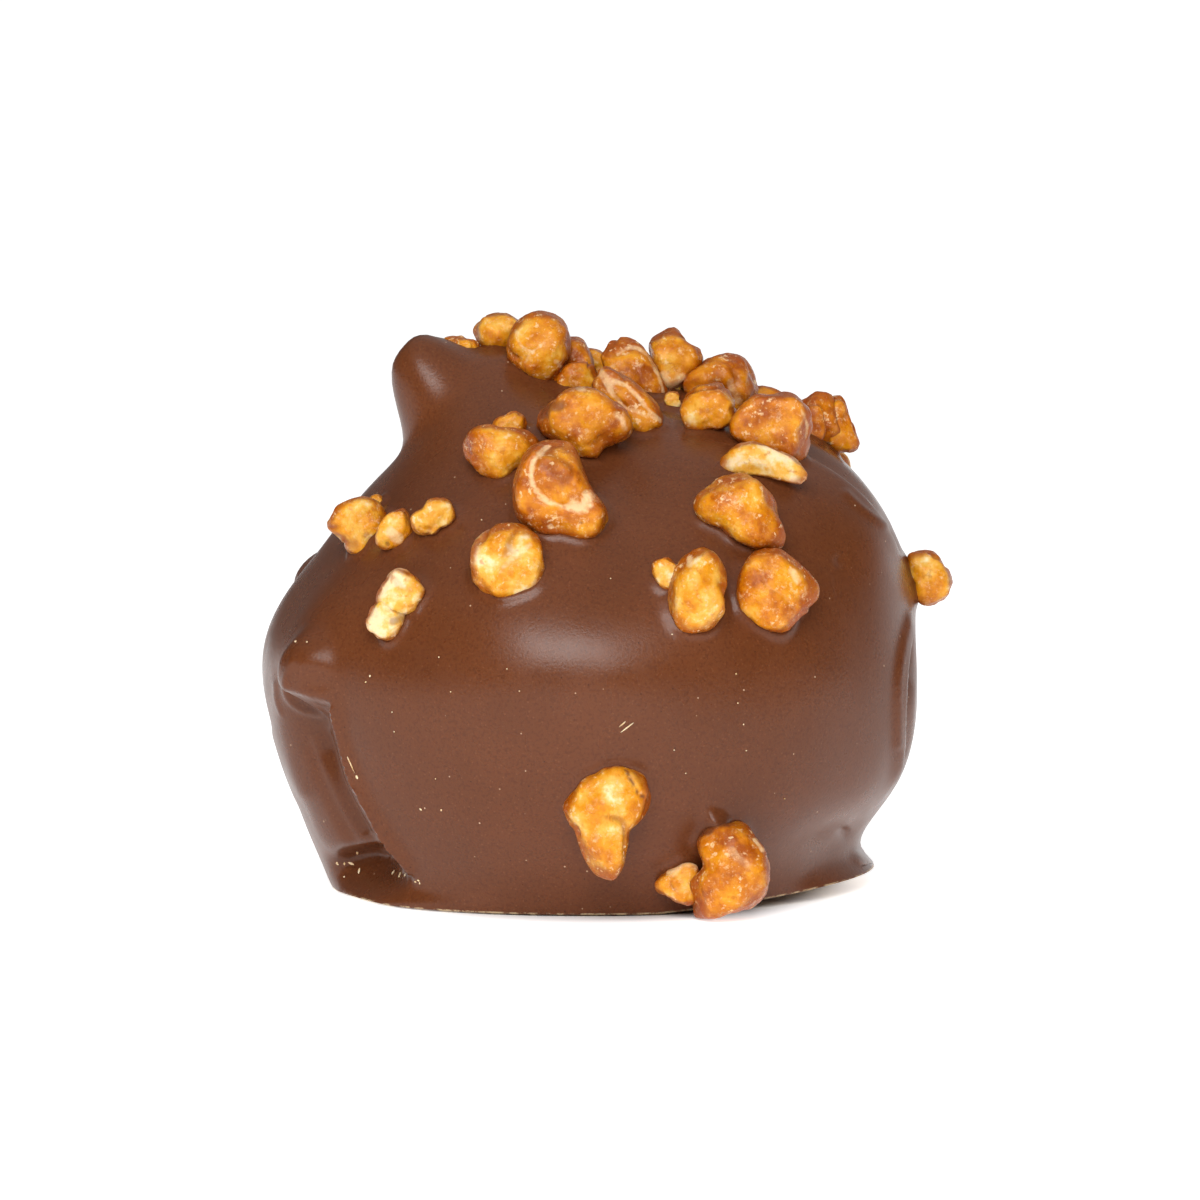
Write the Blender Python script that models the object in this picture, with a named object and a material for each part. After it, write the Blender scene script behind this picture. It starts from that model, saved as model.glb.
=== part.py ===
"""A hazelnut praline: a hand-dipped milk chocolate sweet strewn with caramelised hazelnut pieces.

The sweet stands on its flat foot, with the foot's middle at the origin and +Z up. -Y is its front,
and +X is to the right of someone who looks at the front. Shapes are worked out in millimetres and
scaled to metres when a mesh is made.
"""

import math
from collections import namedtuple

import bmesh
import bpy
import numpy as np
from mathutils import Vector, noise

MM = 0.001
SWEET = "hazelnut_praline"

# The coat's reach is measured from the heart of the filling, which is this far above the table.
HEART_HEIGHT = 11.8
HEART = np.array((0.0, 0.0, HEART_HEIGHT))
TYPICAL_REACH = 16.0

# Reach of the coat on each side, at these angles above and below the level of the heart.
LEVELS = (-90, -60, -40, -20, 0, 20, 40, 60, 90)
REACH = {
    "front": (19.0, 19.0, 16.9, 16.6, 16.0, 14.9, 13.9, 13.3, 13.1),
    "right": (19.0, 19.0, 16.3, 16.3, 15.8, 15.75, 15.35, 13.8, 13.1),
    "back": (19.0, 19.0, 17.4, 16.6, 15.9, 15.3, 14.5, 13.4, 13.1),
    "left": (19.0, 19.0, 17.75, 16.75, 16.9, 14.8, 13.9, 13.3, 13.1),
}

# The chocolate creeps out into a thin rim where it met the tray. turn and spread are in degrees
# round the sweet, and the rim fades out towards its height.
Rim = namedtuple("Rim", "turn spread reach height")
RIMS = (
    Rim(turn=92, spread=38, reach=2.3, height=1.4),
    Rim(turn=-48, spread=26, reach=0.9, height=0.95),
    Rim(turn=170, spread=50, reach=0.7, height=0.95),
)
# The foot lifts off the table to the right of this line, by this angle.
LIFT_FROM = 2.8
LIFT_ANGLE = math.radians(4.2)

# Lumps and hollows of the coat. turn is the angle round the sweet from the front, to the right,
# and rise is the angle above the level of the heart. The other sizes are millimetres on the coat.
# tilt makes it higher on its right and lower on its left, or the other way if it is negative.
Lump = namedtuple("Lump", "turn rise height across along lean sharpness tilt", defaults=(0.0,))
LUMPS = {
    "horn": Lump(-86, 57, 3.4, 2.15, 2.1, 0, 1.5),
    "horn_root": Lump(-68, 58, 1.4, 4.4, 3.6, 0, 1.0),
    "horn_ridge": Lump(-94, 70, 2.4, 3.6, 2.6, 0, 1.0),
    "crown": Lump(60, 82, 0.2, 5.0, 6.0, 0, 1.0),
    "knob": Lump(-56.5, -2.2, 1.2, 1.8, 2.2, 0, 2.0, -0.25),
    "knob_hollow": Lump(-62, -12, -0.8, 2.4, 2.0, 0, 1.0),
    "knob_root": Lump(-57, 7, 0.7, 3.0, 2.8, 0, 1.0),
    "left_pocket": Lump(-60, -38, -1.8, 2.4, 0.95, 0, 1.1),
    "front_trough": Lump(8, 42, -0.9, 2.6, 6.0, 8, 1.0),
    "front_belly": Lump(-4, 6, 0.5, 8.0, 4.0, 6, 1.0),
    "right_shoulder": Lump(66, 26, 0.7, 4.0, 4.0, 0, 1.0),
    "right_waist": Lump(62, -34, -0.6, 4.0, 2.2, 0, 1.0),
    "back_left_bulge": Lump(-116, 12, 1.35, 2.6, 1.7, 0, 1.5),
    "back_peak": Lump(150, 34, 2.2, 2.4, 2.4, 0, 1.2),
    "back_hollow": Lump(-150, -8, -0.8, 5.0, 4.5, 0, 1.0),
    "back_belly": Lump(165, -14, 0.6, 6.0, 4.0, 0, 1.0),
}

# Folds where the coat ran down: the line's (turn, rise) points. The coat is lower by depth on the
# right of someone who walks along the line. The drop takes up edge, and eases back within reach.
Fold = namedtuple("Fold", "line depth edge reach lip")
FOLDS = {
    "left_fold": Fold(((-50, -4), (-51, -11), (-49, -20), (-45, -29), (-41, -38)), 1.5, 0.7, 6.5, 0.25),
    "left_crease": Fold(((-63, -10), (-59, -18), (-55.5, -26), (-53, -32)), 0.4, 0.7, 2.6, 0.2),
    "right_fold": Fold(((77, -26), (70.5, -16), (68.5, -8), (71.5, 1), (80, 8)), 1.0, 0.8, 3.4, 0.3),
    "shoulder_fold": Fold(((80, 14), (72, 24), (66, 36), (60, 46)), 0.45, 0.9, 3.5, 0.1),
    "back_fold": Fold(((-140, 26), (-136, 10), (-140, -10), (-146, -30)), 0.7, 1.4, 5.5, 0.2),
    "back_right_fold": Fold(((128, -34), (124, -16), (128, 2), (136, 16)), 0.6, 1.3, 5.0, 0.2),
}
FOLD_STEPS = 90
UNEVENNESS = 0.22
UNEVEN_SCALE = 2.3

# Nut pieces that show from the front are placed along the lines of sight of a viewer whose eye is
# this far away, this much above the level, looking at a point on the sweet's axis.
EYE_DISTANCE = 420.0
EYE_RISE = math.radians(5.5)
LOOKED_AT = np.array((0.0, 0.0, 14.27))
SIGHT_UP = np.array((0.0, math.sin(EYE_RISE), math.cos(EYE_RISE)))
SIGHT_BACK = np.array((0.0, -math.cos(EYE_RISE), math.sin(EYE_RISE)))
EYE = LOOKED_AT + EYE_DISTANCE * SIGHT_BACK

# across and up give a piece's middle as the viewer sees it, from the foot's middle. turn is its
# long way, anticlockwise from the right. taper narrows the far end, waist its middle, and bend
# curves its ends to its right. sunk is how much of its thickness is in the coat. behind is for a
# piece that stands against the sky: how far it is behind the coat's outline. reaches are its
# distances from its middle to eight sides, anticlockwise from the right.
Piece = namedtuple(
    "Piece",
    "across up length width turn taper waist bend thickness sunk behind reaches",
    defaults=(0.0, 0.0, 0.0, 0.8, 0.25, None, None),
)


def outlined(across, up, *reaches, thickness=0.8, sunk=0.25, behind=None):
    """A piece given by its reaches to eight sides as the viewer sees it, from its right side on."""
    size = 2 * sum(reaches) / len(reaches)
    return Piece(
        across, up, size, size, 90, thickness=thickness, sunk=sunk, behind=behind, reaches=reaches
    )


PIECES = {
    "left_pear": outlined(-12.25, 18.0, 1.5, 1.55, 1.3, 1.2, 1.3, 1.0, 1.65, 1.2, sunk=0.1),
    "left_knob": Piece(-11.3, 18.95, 1.1, 1.0, 40),
    "left_pebble": outlined(-10.25, 17.75, 0.9, 1.1, 0.95, 0.8, 0.85, 1.15, 0.95, 0.95, sunk=0.15),
    "left_bone": outlined(-8.4, 18.3, 1.1, 1.25, 1.05, 0.6, 1.0, 1.1, 0.8, 0.65, sunk=0.1),
    "left_lobe": Piece(-10.0, 14.55, 2.3, 2.1, 60, sunk=0.15),
    "left_lobe_tail": Piece(-10.7, 13.35, 2.1, 1.8, 60, sunk=0.15),
    "pillow": outlined(
        -4.6, 16.1, 1.75, 1.9, 1.85, 1.7, 1.75, 1.85, 1.9, 1.9, thickness=0.7, sunk=0.35
    ),
    "fold_chunk": outlined(-5.0, 21.7, 1.9, 1.4, 1.1, 1.6, 1.7, 1.4, 1.6, 1.3, thickness=0.9),
    "fold_bud": Piece(-4.5, 22.8, 1.8, 1.5, 30),
    "kernel": outlined(-2.0, 19.7, 1.6, 1.6, 2.55, 2.45, 2.35, 2.4, 2.3, 2.95, thickness=0.85),
    "big_amber": outlined(
        -0.75, 22.95, 2.35, 1.85, 1.85, 2.1, 2.25, 1.4, 1.9, 1.55, thickness=0.9, sunk=0.2
    ),
    "top_round": outlined(
        -3.0, 27.05, 1.5, 1.75, 1.85, 1.75, 1.65, 1.8, 1.75, 1.6, thickness=0.95, behind=-2.0
    ),
    "top_left": outlined(
        -5.0, 27.55, 1.0, 1.2, 1.1, 1.1, 1.25, 1.1, 0.9, 1.1, thickness=1.0, behind=0.5
    ),
    "horn_sliver": Piece(-6.9, 26.6, 2.1, 1.6, -15, thickness=1.0, behind=0.5),
    "behind_round": Piece(-1.3, 26.35, 2.5, 1.8, -70, thickness=1.2, behind=-1.0),
    "top_gap": Piece(-0.3, 26.15, 2.2, 1.6, -50, thickness=1.0, behind=0.5),
    "ridge_brown": Piece(-1.2, 25.2, 2.3, 1.7, 15, thickness=1.0, behind=-2.5),
    "rimmed": Piece(1.4, 24.1, 4.3, 1.95, -43, taper=-0.1, thickness=1.1, sunk=0.1),
    "shell": Piece(
        1.85, 25.0, 4.9, 2.5, -58, taper=0.15, bend=0.06, thickness=0.9, behind=-1.5
    ),
    "tower": outlined(
        3.7, 26.6, 1.5, 1.05, 1.4, 1.45, 1.15, 1.2, 2.05, 1.35, thickness=1.3, behind=0.0
    ),
    "tower_foot": Piece(3.5, 25.0, 1.4, 1.1, -70, thickness=1.0, behind=-0.5),
    "sugar_lump": Piece(3.63, 24.15, 1.0, 0.85, 80, sunk=0.1),
    "dome": outlined(
        6.0, 24.9, 1.75, 1.75, 1.55, 1.55, 1.85, 1.6, 1.55, 1.75, thickness=0.95, behind=-1.8
    ),
    "ball": outlined(5.55, 23.75, 1.4, 1.4, 1.25, 1.3, 1.45, 1.45, 1.2, 1.3, sunk=0.05),
    "behind_dome": Piece(8.4, 24.4, 2.4, 1.5, -15, thickness=1.3, behind=0.8),
    "right_round": outlined(
        8.55, 22.9, 2.0, 2.05, 1.5, 1.7, 2.1, 1.5, 1.25, 2.15, thickness=0.85, sunk=0.15
    ),
    "right_post": Piece(10.75, 22.95, 2.0, 1.2, 90, thickness=1.0, behind=-0.8),
    "right_dark": Piece(11.1, 23.35, 2.6, 2.1, -75, thickness=1.1, behind=0.0),
    "right_back": Piece(12.3, 23.35, 3.1, 1.7, -68, bend=-0.05, thickness=1.5, behind=0.9),
    "crescent": Piece(
        8.2, 20.95, 4.3, 1.8, -12, taper=0.3, bend=0.1, thickness=0.9, sunk=0.2
    ),
    "drop": outlined(7.1, 18.7, 1.7, 1.55, 1.9, 1.95, 2.2, 1.4, 1.75, 2.5, thickness=0.75),
    "finger": outlined(4.85, 14.6, 1.4, 1.75, 2.15, 1.65, 1.3, 1.7, 2.0, 1.75),
    "finger_bud": Piece(3.3, 15.5, 1.5, 1.2, 110, sunk=0.15),
    "knobbly": outlined(
        8.65, 14.6, 2.15, 1.85, 2.15, 2.0, 2.05, 1.75, 2.1, 1.85, thickness=0.7, sunk=0.35
    ),
    "side_nut": Piece(16.35, 15.3, 2.85, 2.35, -60, thickness=1.0, behind=0.5),
    "low_drop": outlined(
        0.25, 3.7, 2.05, 2.5, 2.15, 2.0, 2.05, 1.9, 3.35, 1.6, thickness=0.6, sunk=0.35
    ),
    "curl": outlined(
        6.5, 0.8, 1.9, 1.95, 2.35, 2.0, 1.35, 3.0, 2.35, 2.1, thickness=0.85, sunk=0.1
    ),
    "curl_tip": outlined(3.85, 0.0, 1.0, 1.3, 0.85, 0.8, 1.05, 0.85, 0.9, 1.2, sunk=0.1),
}

# Pieces strewn over the crown and the sides that don't show from the front.
STREWN_SEED = 11
Strewn = namedtuple("Strewn", "count turn_from turn_to rise_from rise_to")
STREWN = (
    Strewn(count=5, turn_from=130, turn_to=240, rise_from=58, rise_to=72),
    Strewn(count=9, turn_from=118, turn_to=236, rise_from=30, rise_to=54),
    Strewn(count=5, turn_from=120, turn_to=234, rise_from=2, rise_to=26),
    Strewn(count=2, turn_from=140, turn_to=225, rise_from=-30, rise_to=-12),
)
STREWN_LENGTH = (2.4, 4.4)
STREWN_WIDTH = (0.65, 0.9)
STREWN_APART = 3.1

BOXINESS = 2.8
CHOP_MARKS = 7
CHOP_BITE = 0.5
# The chop marks of an outlined piece turn this much more towards the viewer.
OUTLINE_CHOPS_FACE = 1.6
WRINKLE = 0.1
# A piece that stands against the sky is at least this share of its thickness in the coat.
LEAST_SUNK = 0.12
# The lowest piece stays this far above the table, so that the sweet rests on its foot alone.
NUT_CLEARANCE = 0.1

COAT_SUBDIVISIONS = 7
COAT_KEPT = 0.04
SHORTEST_EDGE = 0.03
PIECE_SUBDIVISIONS = 2
# Pieces wider than this are one step finer.
LARGE_PIECE = 3.6

MILK_CHOCOLATE = (0.185, 0.073, 0.040, 1.0)


def smooth_step(value, low, high):
    """0 below low, 1 above high, and a smooth rise between them."""
    share = np.clip((value - low) / (high - low), 0.0, 1.0)
    return share * share * (3.0 - 2.0 * share)


def smooth_curve(at, knots, values):
    """A smooth curve through the values at the knots, read at each place."""
    knots = np.array(knots, float)
    values = np.array(values, float)
    slopes = np.gradient(values, knots)
    span = np.clip(np.searchsorted(knots, at) - 1, 0, len(knots) - 2)
    width = knots[span + 1] - knots[span]
    s = (at - knots[span]) / width
    return (
        values[span] * (1 + 2 * s) * (1 - s) ** 2
        + slopes[span] * width * s * (1 - s) ** 2
        + values[span + 1] * s * s * (3 - 2 * s)
        + slopes[span + 1] * width * s * s * (s - 1)
    )


def direction(turn, rise):
    """The unit direction at turn degrees round from the front and rise degrees above the level."""
    turn = np.radians(turn)
    rise = np.radians(rise)
    return np.stack(
        [np.sin(turn) * np.cos(rise), -np.cos(turn) * np.cos(rise), np.sin(rise)], axis=-1
    )


def smooth_reach(ways):
    """The coat's reach without its lumps, from the four sides' curves, mixed by the turn."""
    rise = np.degrees(np.arcsin(np.clip(ways[:, 2], -1, 1)))
    turn = np.arctan2(ways[:, 0], -ways[:, 1])
    right = np.sin(turn)
    front = np.cos(turn)
    shares = {
        "front": np.maximum(front, 0) ** 2,
        "back": np.maximum(-front, 0) ** 2,
        "right": np.maximum(right, 0) ** 2,
        "left": np.maximum(-right, 0) ** 2,
    }
    return sum(share * smooth_curve(rise, LEVELS, REACH[side]) for side, share in shares.items())


def lump_height(ways, lump):
    """A rounded lump or hollow, as what it adds to the reach."""
    middle = direction(lump.turn, lump.rise)
    sideways = direction(lump.turn + 90, 0)
    upward = np.cross(middle, sideways) * -1
    lean = math.radians(lump.lean)
    apart = (ways - middle) * TYPICAL_REACH
    across = apart @ (sideways * math.cos(lean) + upward * math.sin(lean))
    along = apart @ (upward * math.cos(lean) - sideways * math.sin(lean))
    square = (across / lump.across) ** 2 + (along / lump.along) ** 2
    same_side = smooth_step(ways @ middle, 0.0, 0.35)
    height = lump.height * (1 + lump.tilt * across / lump.across)
    return height * np.exp(-(square**lump.sharpness)) * same_side


def fold_height(ways, fold):
    """A fold: a soft lip along the line, with the coat dropping to its right and easing back."""
    knots = np.arange(len(fold.line))
    fine = np.linspace(0, len(fold.line) - 1, FOLD_STEPS)
    turns = smooth_curve(fine, knots, [p[0] for p in fold.line])
    rises = smooth_curve(fine, knots, [p[1] for p in fold.line])
    line = direction(turns, rises)
    gaps = ((ways[:, None, :] - line[None, :, :]) ** 2).sum(axis=2)
    nearest = gaps.argmin(axis=1)
    heading = np.gradient(line, axis=0)[nearest]
    heading /= np.linalg.norm(heading, axis=1, keepdims=True)
    foot = line[nearest]
    rightward = np.cross(heading, foot)
    beside = ((ways - foot) * rightward).sum(axis=1) * TYPICAL_REACH
    beyond = np.abs(((ways - foot) * heading).sum(axis=1)) * TYPICAL_REACH
    place = nearest / (len(line) - 1)
    ends = smooth_step(place, 0.0, 0.2) * (1 - smooth_step(place, 0.85, 1.0))
    ends = ends * np.exp(-((beyond / 1.5) ** 2))
    drop = smooth_step(beside, 0, fold.edge) * (1 - smooth_step(beside, fold.edge, fold.reach))
    lip = np.exp(-((beside / fold.edge) ** 2))
    return ends * (fold.lip * lip - fold.depth * drop)


def coat_reach(ways):
    """How far the coat reaches from the heart in each unit direction."""
    reach = smooth_reach(ways)
    for lump in LUMPS.values():
        reach = reach + lump_height(ways, lump)
    for fold in FOLDS.values():
        reach = reach + fold_height(ways, fold)
    uneven = np.array([noise.noise(Vector(way) * UNEVEN_SCALE) for way in ways])
    return reach + UNEVENNESS * uneven


def rim_reach(points):
    """How far the rim of the foot stands out, from each point's turn and its height."""
    turn = np.degrees(np.arctan2(points[:, 0], -points[:, 1]))
    out = np.zeros(len(points))
    for rim in RIMS:
        apart = (turn - rim.turn + 180) % 360 - 180
        low = np.exp(-((np.maximum(points[:, 2], 0) / rim.height) ** 2))
        out = out + rim.reach * low * np.exp(-((apart / rim.spread) ** 2))
    return out


def coat_points(ways):
    """The coat's surface in each unit direction, in millimetres, before the foot is cut flat."""
    points = HEART + ways * coat_reach(ways)[:, None]
    level = np.maximum(np.hypot(points[:, 0], points[:, 1]), 1e-9)
    points[:, :2] *= (1 + rim_reach(points) / level)[:, None]
    return points


def height_over_coat(points):
    """How far each point is outside the coat, along its own line from the heart."""
    apart = points - HEART
    distance = np.linalg.norm(apart, axis=1)
    ways = apart / distance[:, None]
    return distance - np.linalg.norm(coat_points(ways) - HEART, axis=1)


def seat_on(start, heading, near, far):
    """Where a line first meets the coat between two distances along it."""
    steps = np.linspace(near, far, 90)
    over = height_over_coat(start + steps[:, None] * heading)
    inside = np.nonzero(over < 0)[0]
    if not len(inside):
        return None
    first = max(int(inside[0]), 1)
    fine = np.linspace(steps[first - 1], steps[first], 40)
    over = height_over_coat(start + fine[:, None] * heading)
    return start + fine[int(np.argmin(np.abs(over)))] * heading


def outward(point):
    """The coat's outward direction near a point, from the reach of its neighbours."""
    way = (point - HEART) / np.linalg.norm(point - HEART)
    side = np.cross(way, (0.0, 0.0, 1.0))
    side /= np.linalg.norm(side)
    other = np.cross(way, side)
    near = 0.02
    ring = np.array([way + near * side, way - near * side, way + near * other, way - near * other])
    ring /= np.linalg.norm(ring, axis=1, keepdims=True)
    a, b, c, d = coat_points(ring)
    normal = np.cross(a - b, c - d)
    normal /= np.linalg.norm(normal)
    return normal if normal @ way > 0 else -normal


def line_of_sight(across, up):
    """The unit direction from the eye through a place that the viewer sees."""
    level = up - LOOKED_AT[2] * SIGHT_UP[2]
    through = LOOKED_AT + across * np.array((1.0, 0.0, 0.0)) + level * SIGHT_UP
    heading = through - EYE
    return heading / np.linalg.norm(heading)


def frame_of(middle, long_way, out):
    """Position and axes of a piece: across, along its length, and out of the coat."""
    out = out / np.linalg.norm(out)
    along = long_way - (long_way @ out) * out
    along /= np.linalg.norm(along)
    return middle, np.cross(along, out), along, out


def where_seen(point):
    """Across and up of a point as the viewer sees it, from the foot's middle."""
    apart = point - EYE
    share = EYE_DISTANCE / -(apart @ SIGHT_BACK)
    through = EYE + share * apart - LOOKED_AT
    return np.array((through[0], through @ SIGHT_UP + LOOKED_AT[2] * SIGHT_UP[2]))


def half_height(piece):
    """How far a piece reaches below its middle, or half its thickness if that is more."""
    turn = math.radians(piece.turn)
    below = math.hypot(piece.length * math.sin(turn), piece.width * math.cos(turn)) / 2
    if piece.reaches:
        below = piece.reaches[len(piece.reaches) * 3 // 4]
    return max(below, piece.thickness * piece.width / 2)


def placed_piece(piece):
    """The frame of a piece that shows from the front."""
    turn = math.radians(piece.turn)
    long_way = np.array((math.cos(turn), 0.0, 0.0)) + math.sin(turn) * SIGHT_UP
    wanted = np.array((piece.across, piece.up))
    heading = line_of_sight(*wanted)
    thick = piece.thickness * piece.width
    if piece.behind is not None:
        steps = np.linspace(EYE_DISTANCE - 20, EYE_DISTANCE + 20, 160)
        over = height_over_coat(EYE + steps[:, None] * heading)
        middle = EYE + heading * (steps[int(np.argmin(over))] + piece.behind)
        over = height_over_coat(middle[None, :])[0] - half_height(piece) + LEAST_SUNK * thick
        inward = (HEART - middle) / np.linalg.norm(HEART - middle)
        return frame_of(middle + max(over, 0.0) * inward, long_way, -heading)
    aim = wanted.copy()
    for _ in range(5):
        seat = seat_on(EYE, line_of_sight(*aim), EYE_DISTANCE - 25, EYE_DISTANCE + 10)
        middle = seat + outward(seat) * (0.5 - piece.sunk) * thick
        aim += 0.8 * (wanted - where_seen(middle))
    return frame_of(middle, long_way, -heading)


def strewn_pieces():
    """Frames and shapes of the pieces on the crown, sides and back, from a seeded draw."""
    draw = np.random.default_rng(STREWN_SEED)
    taken = [placed_piece(piece)[0] for piece in PIECES.values()]
    made = {}
    for area_number, area in enumerate(STREWN):
        for number in range(area.count):
            for _ in range(200):
                turn = draw.uniform(area.turn_from, area.turn_to)
                rise = draw.uniform(area.rise_from, area.rise_to)
                seat = coat_points(direction(turn, rise)[None, :])[0]
                if min(np.linalg.norm(seat - other) for other in taken) > STREWN_APART:
                    break
            taken.append(seat)
            length = draw.uniform(*STREWN_LENGTH)
            width = length * draw.uniform(*STREWN_WIDTH)
            piece = Piece(
                0.0, 0.0, length, width, 0.0,
                taper=draw.uniform(-0.3, 0.4),
                waist=draw.uniform(0.0, 0.15),
                bend=draw.uniform(-0.2, 0.2),
                thickness=draw.uniform(0.7, 0.95),
                sunk=draw.uniform(0.15, 0.4),
            )
            out = outward(seat)
            spin = draw.uniform(0, 2 * math.pi)
            side = np.cross(out, (0.3, 0.5, 0.81))
            long_way = side * math.cos(spin) + np.cross(out, side) * math.sin(spin)
            middle = seat + out * (0.5 - piece.sunk) * piece.thickness * width
            made[f"strewn_{area_number}_{number}"] = (piece, frame_of(middle, long_way, out))
    return made


def all_pieces():
    """Every nut piece by name: its shape and its frame."""
    made = {name: (piece, placed_piece(piece)) for name, piece in PIECES.items()}
    made.update(strewn_pieces())
    return made


def outline_points(ball, piece):
    """A unit ball's points spread to the piece's reaches, and rounded towards the viewer."""
    count = len(piece.reaches)
    step = 360 / count
    turn = np.degrees(np.arctan2(ball[:, 1], ball[:, 0])) % 360
    steps = range(-1, count + 2)
    reach = smooth_curve(turn, [k * step for k in steps], [piece.reaches[k % count] for k in steps])
    level = np.hypot(ball[:, 0], ball[:, 1])
    boxy = (level**BOXINESS + np.abs(ball[:, 2]) ** BOXINESS) ** (1 / BOXINESS)
    depth = 0.5 * piece.width * piece.thickness
    return ball / boxy[:, None] * np.stack([reach, reach, np.full(len(ball), depth)], axis=1)


def pebble_points(ball, piece):
    """A unit ball's points as a boxy pebble, tapered and pinched along its length."""
    boxy = (np.abs(ball) ** BOXINESS).sum(axis=1) ** (1 / BOXINESS)
    x, y, z = (ball / boxy[:, None]).T
    pinch = (1 - piece.taper * y) * (1 - piece.waist * np.exp(-((y / 0.35) ** 2)))
    return np.stack([x * pinch, y, z * (0.4 + 0.6 * pinch)], axis=1)


def nut_points(ball, piece, seed):
    """A unit ball's points shaped into a nut piece, in its own frame of across, along and out."""
    draw = np.random.default_rng(seed)
    points = outline_points(ball, piece) if piece.reaches else pebble_points(ball, piece)
    for _ in range(CHOP_MARKS):
        normal = draw.normal(size=3)
        if piece.reaches:
            normal[2] = OUTLINE_CHOPS_FACE * abs(normal[2])
        normal /= np.linalg.norm(normal)
        far = (points @ normal).max()
        over = np.maximum(points @ normal - far * draw.uniform(0.72, 0.92), 0)
        points -= CHOP_BITE * over[:, None] * normal
    offset = Vector(draw.uniform(-50, 50, size=3))
    bumps = np.array([noise.noise(Vector(way) * 1.7 + offset) for way in ball])
    points *= (1 + WRINKLE * bumps)[:, None]
    if piece.reaches:
        return points
    low, high = points.min(axis=0), points.max(axis=0)
    points = 2 * (points - low) / (high - low) - 1
    points *= 0.5 * np.array((piece.width, piece.length, piece.width * piece.thickness))
    along = 2 * points[:, 1] / piece.length
    points[:, 0] += piece.bend * piece.length * (along * along - 0.4)
    return points


def make_material(name, colour, roughness):
    material = bpy.data.materials.new(name)
    material.use_nodes = True
    shader = material.node_tree.nodes["Principled BSDF"]
    shader.inputs["Base Color"].default_value = colour
    shader.inputs["Roughness"].default_value = roughness
    shader.inputs["Metallic"].default_value = 0.0
    return material


def add_mesh(name, mesh_builder, collection):
    """A new object whose mesh is a bmesh with its points already in metres."""
    mesh = bpy.data.meshes.new(name)
    mesh_builder.to_mesh(mesh)
    mesh_builder.free()
    made = bpy.data.objects.new(name, mesh)
    collection.objects.link(made)
    return made


def build_coat(collection):
    """The chocolate coat, thinned to few faces and cut flat under its foot."""
    builder = bmesh.new()
    bmesh.ops.create_icosphere(builder, subdivisions=COAT_SUBDIVISIONS, radius=1.0)
    ways = np.array([v.co for v in builder.verts])
    ways /= np.linalg.norm(ways, axis=1, keepdims=True)
    for vertex, point in zip(builder.verts, coat_points(ways)):
        vertex.co = Vector(point) * MM
    coat = add_mesh("fine_coat", builder, collection)
    thin = coat.modifiers.new("thin", "DECIMATE")
    thin.ratio = COAT_KEPT
    graph = bpy.context.evaluated_depsgraph_get()
    mesh = bpy.data.meshes.new_from_object(coat.evaluated_get(graph))
    bpy.data.objects.remove(coat)

    builder = bmesh.new()
    builder.from_mesh(mesh)
    bpy.data.meshes.remove(mesh)
    tilt = math.tan(LIFT_ANGLE)
    cuts = (
        (Vector((0, 0, 0)), Vector((0, 0, -1))),
        (Vector((LIFT_FROM * MM, 0, 0)), Vector((tilt, 0, -1))),
    )
    for place, normal in cuts:
        everything = builder.verts[:] + builder.edges[:] + builder.faces[:]
        cut = bmesh.ops.bisect_plane(
            builder, geom=everything, dist=1e-7, plane_co=place, plane_no=normal, clear_outer=True
        )
        edges = [e for e in cut["geom_cut"] if isinstance(e, bmesh.types.BMEdge)]
        bmesh.ops.triangle_fill(builder, use_beauty=True, edges=edges)
    bmesh.ops.dissolve_degenerate(builder, dist=SHORTEST_EDGE * MM, edges=builder.edges)
    bmesh.ops.triangulate(builder, faces=builder.faces)
    bmesh.ops.recalc_face_normals(builder, faces=builder.faces)
    return add_mesh(SWEET, builder, collection)


def build_pieces(collection):
    """The nut pieces as closed pebbles, each its own object."""
    for seed, (name, (piece, frame)) in enumerate(all_pieces().items()):
        builder = bmesh.new()
        finer = 1 if piece.reaches and piece.width > LARGE_PIECE else 0
        bmesh.ops.create_icosphere(builder, subdivisions=PIECE_SUBDIVISIONS + finer, radius=1.0)
        ball = np.array([v.co for v in builder.verts])
        middle, across, along, out = frame
        points = middle + nut_points(ball, piece, seed) @ np.array([across, along, out])
        points[:, 2] = np.maximum(points[:, 2], NUT_CLEARANCE)
        for vertex, point in zip(builder.verts, points):
            vertex.co = Vector(point) * MM
        bmesh.ops.recalc_face_normals(builder, faces=builder.faces)
        add_mesh(name, builder, collection)


def keep_largest_body(mesh):
    """Drop sealed hollows and loose scraps that the union leaves beside the largest body."""
    builder = bmesh.new()
    builder.from_mesh(mesh)
    bodies = []
    unseen = set(builder.verts)
    while unseen:
        body = {unseen.pop()}
        edge_of_body = list(body)
        while edge_of_body:
            vertex = edge_of_body.pop()
            found = {edge.other_vert(vertex) for edge in vertex.link_edges} & unseen
            unseen -= found
            body |= found
            edge_of_body.extend(found)
        bodies.append(body)
    bodies.sort(key=len)
    for body in bodies[:-1]:
        bmesh.ops.delete(builder, geom=list(body), context="VERTS")
    builder.to_mesh(mesh)
    builder.free()


def fuse(coat, collection):
    """One Boolean union of the coat with every piece, which are then removed."""
    union = coat.modifiers.new("fuse", "BOOLEAN")
    union.operation = "UNION"
    union.operand_type = "COLLECTION"
    union.collection = collection
    union.solver = "EXACT"
    graph = bpy.context.evaluated_depsgraph_get()
    fused = bpy.data.meshes.new_from_object(coat.evaluated_get(graph))
    coat.modifiers.clear()
    old = coat.data
    coat.data = fused
    bpy.data.meshes.remove(old)
    keep_largest_body(coat.data)
    for piece in list(collection.objects):
        bpy.data.objects.remove(piece)
    bpy.data.collections.remove(collection)


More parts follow.
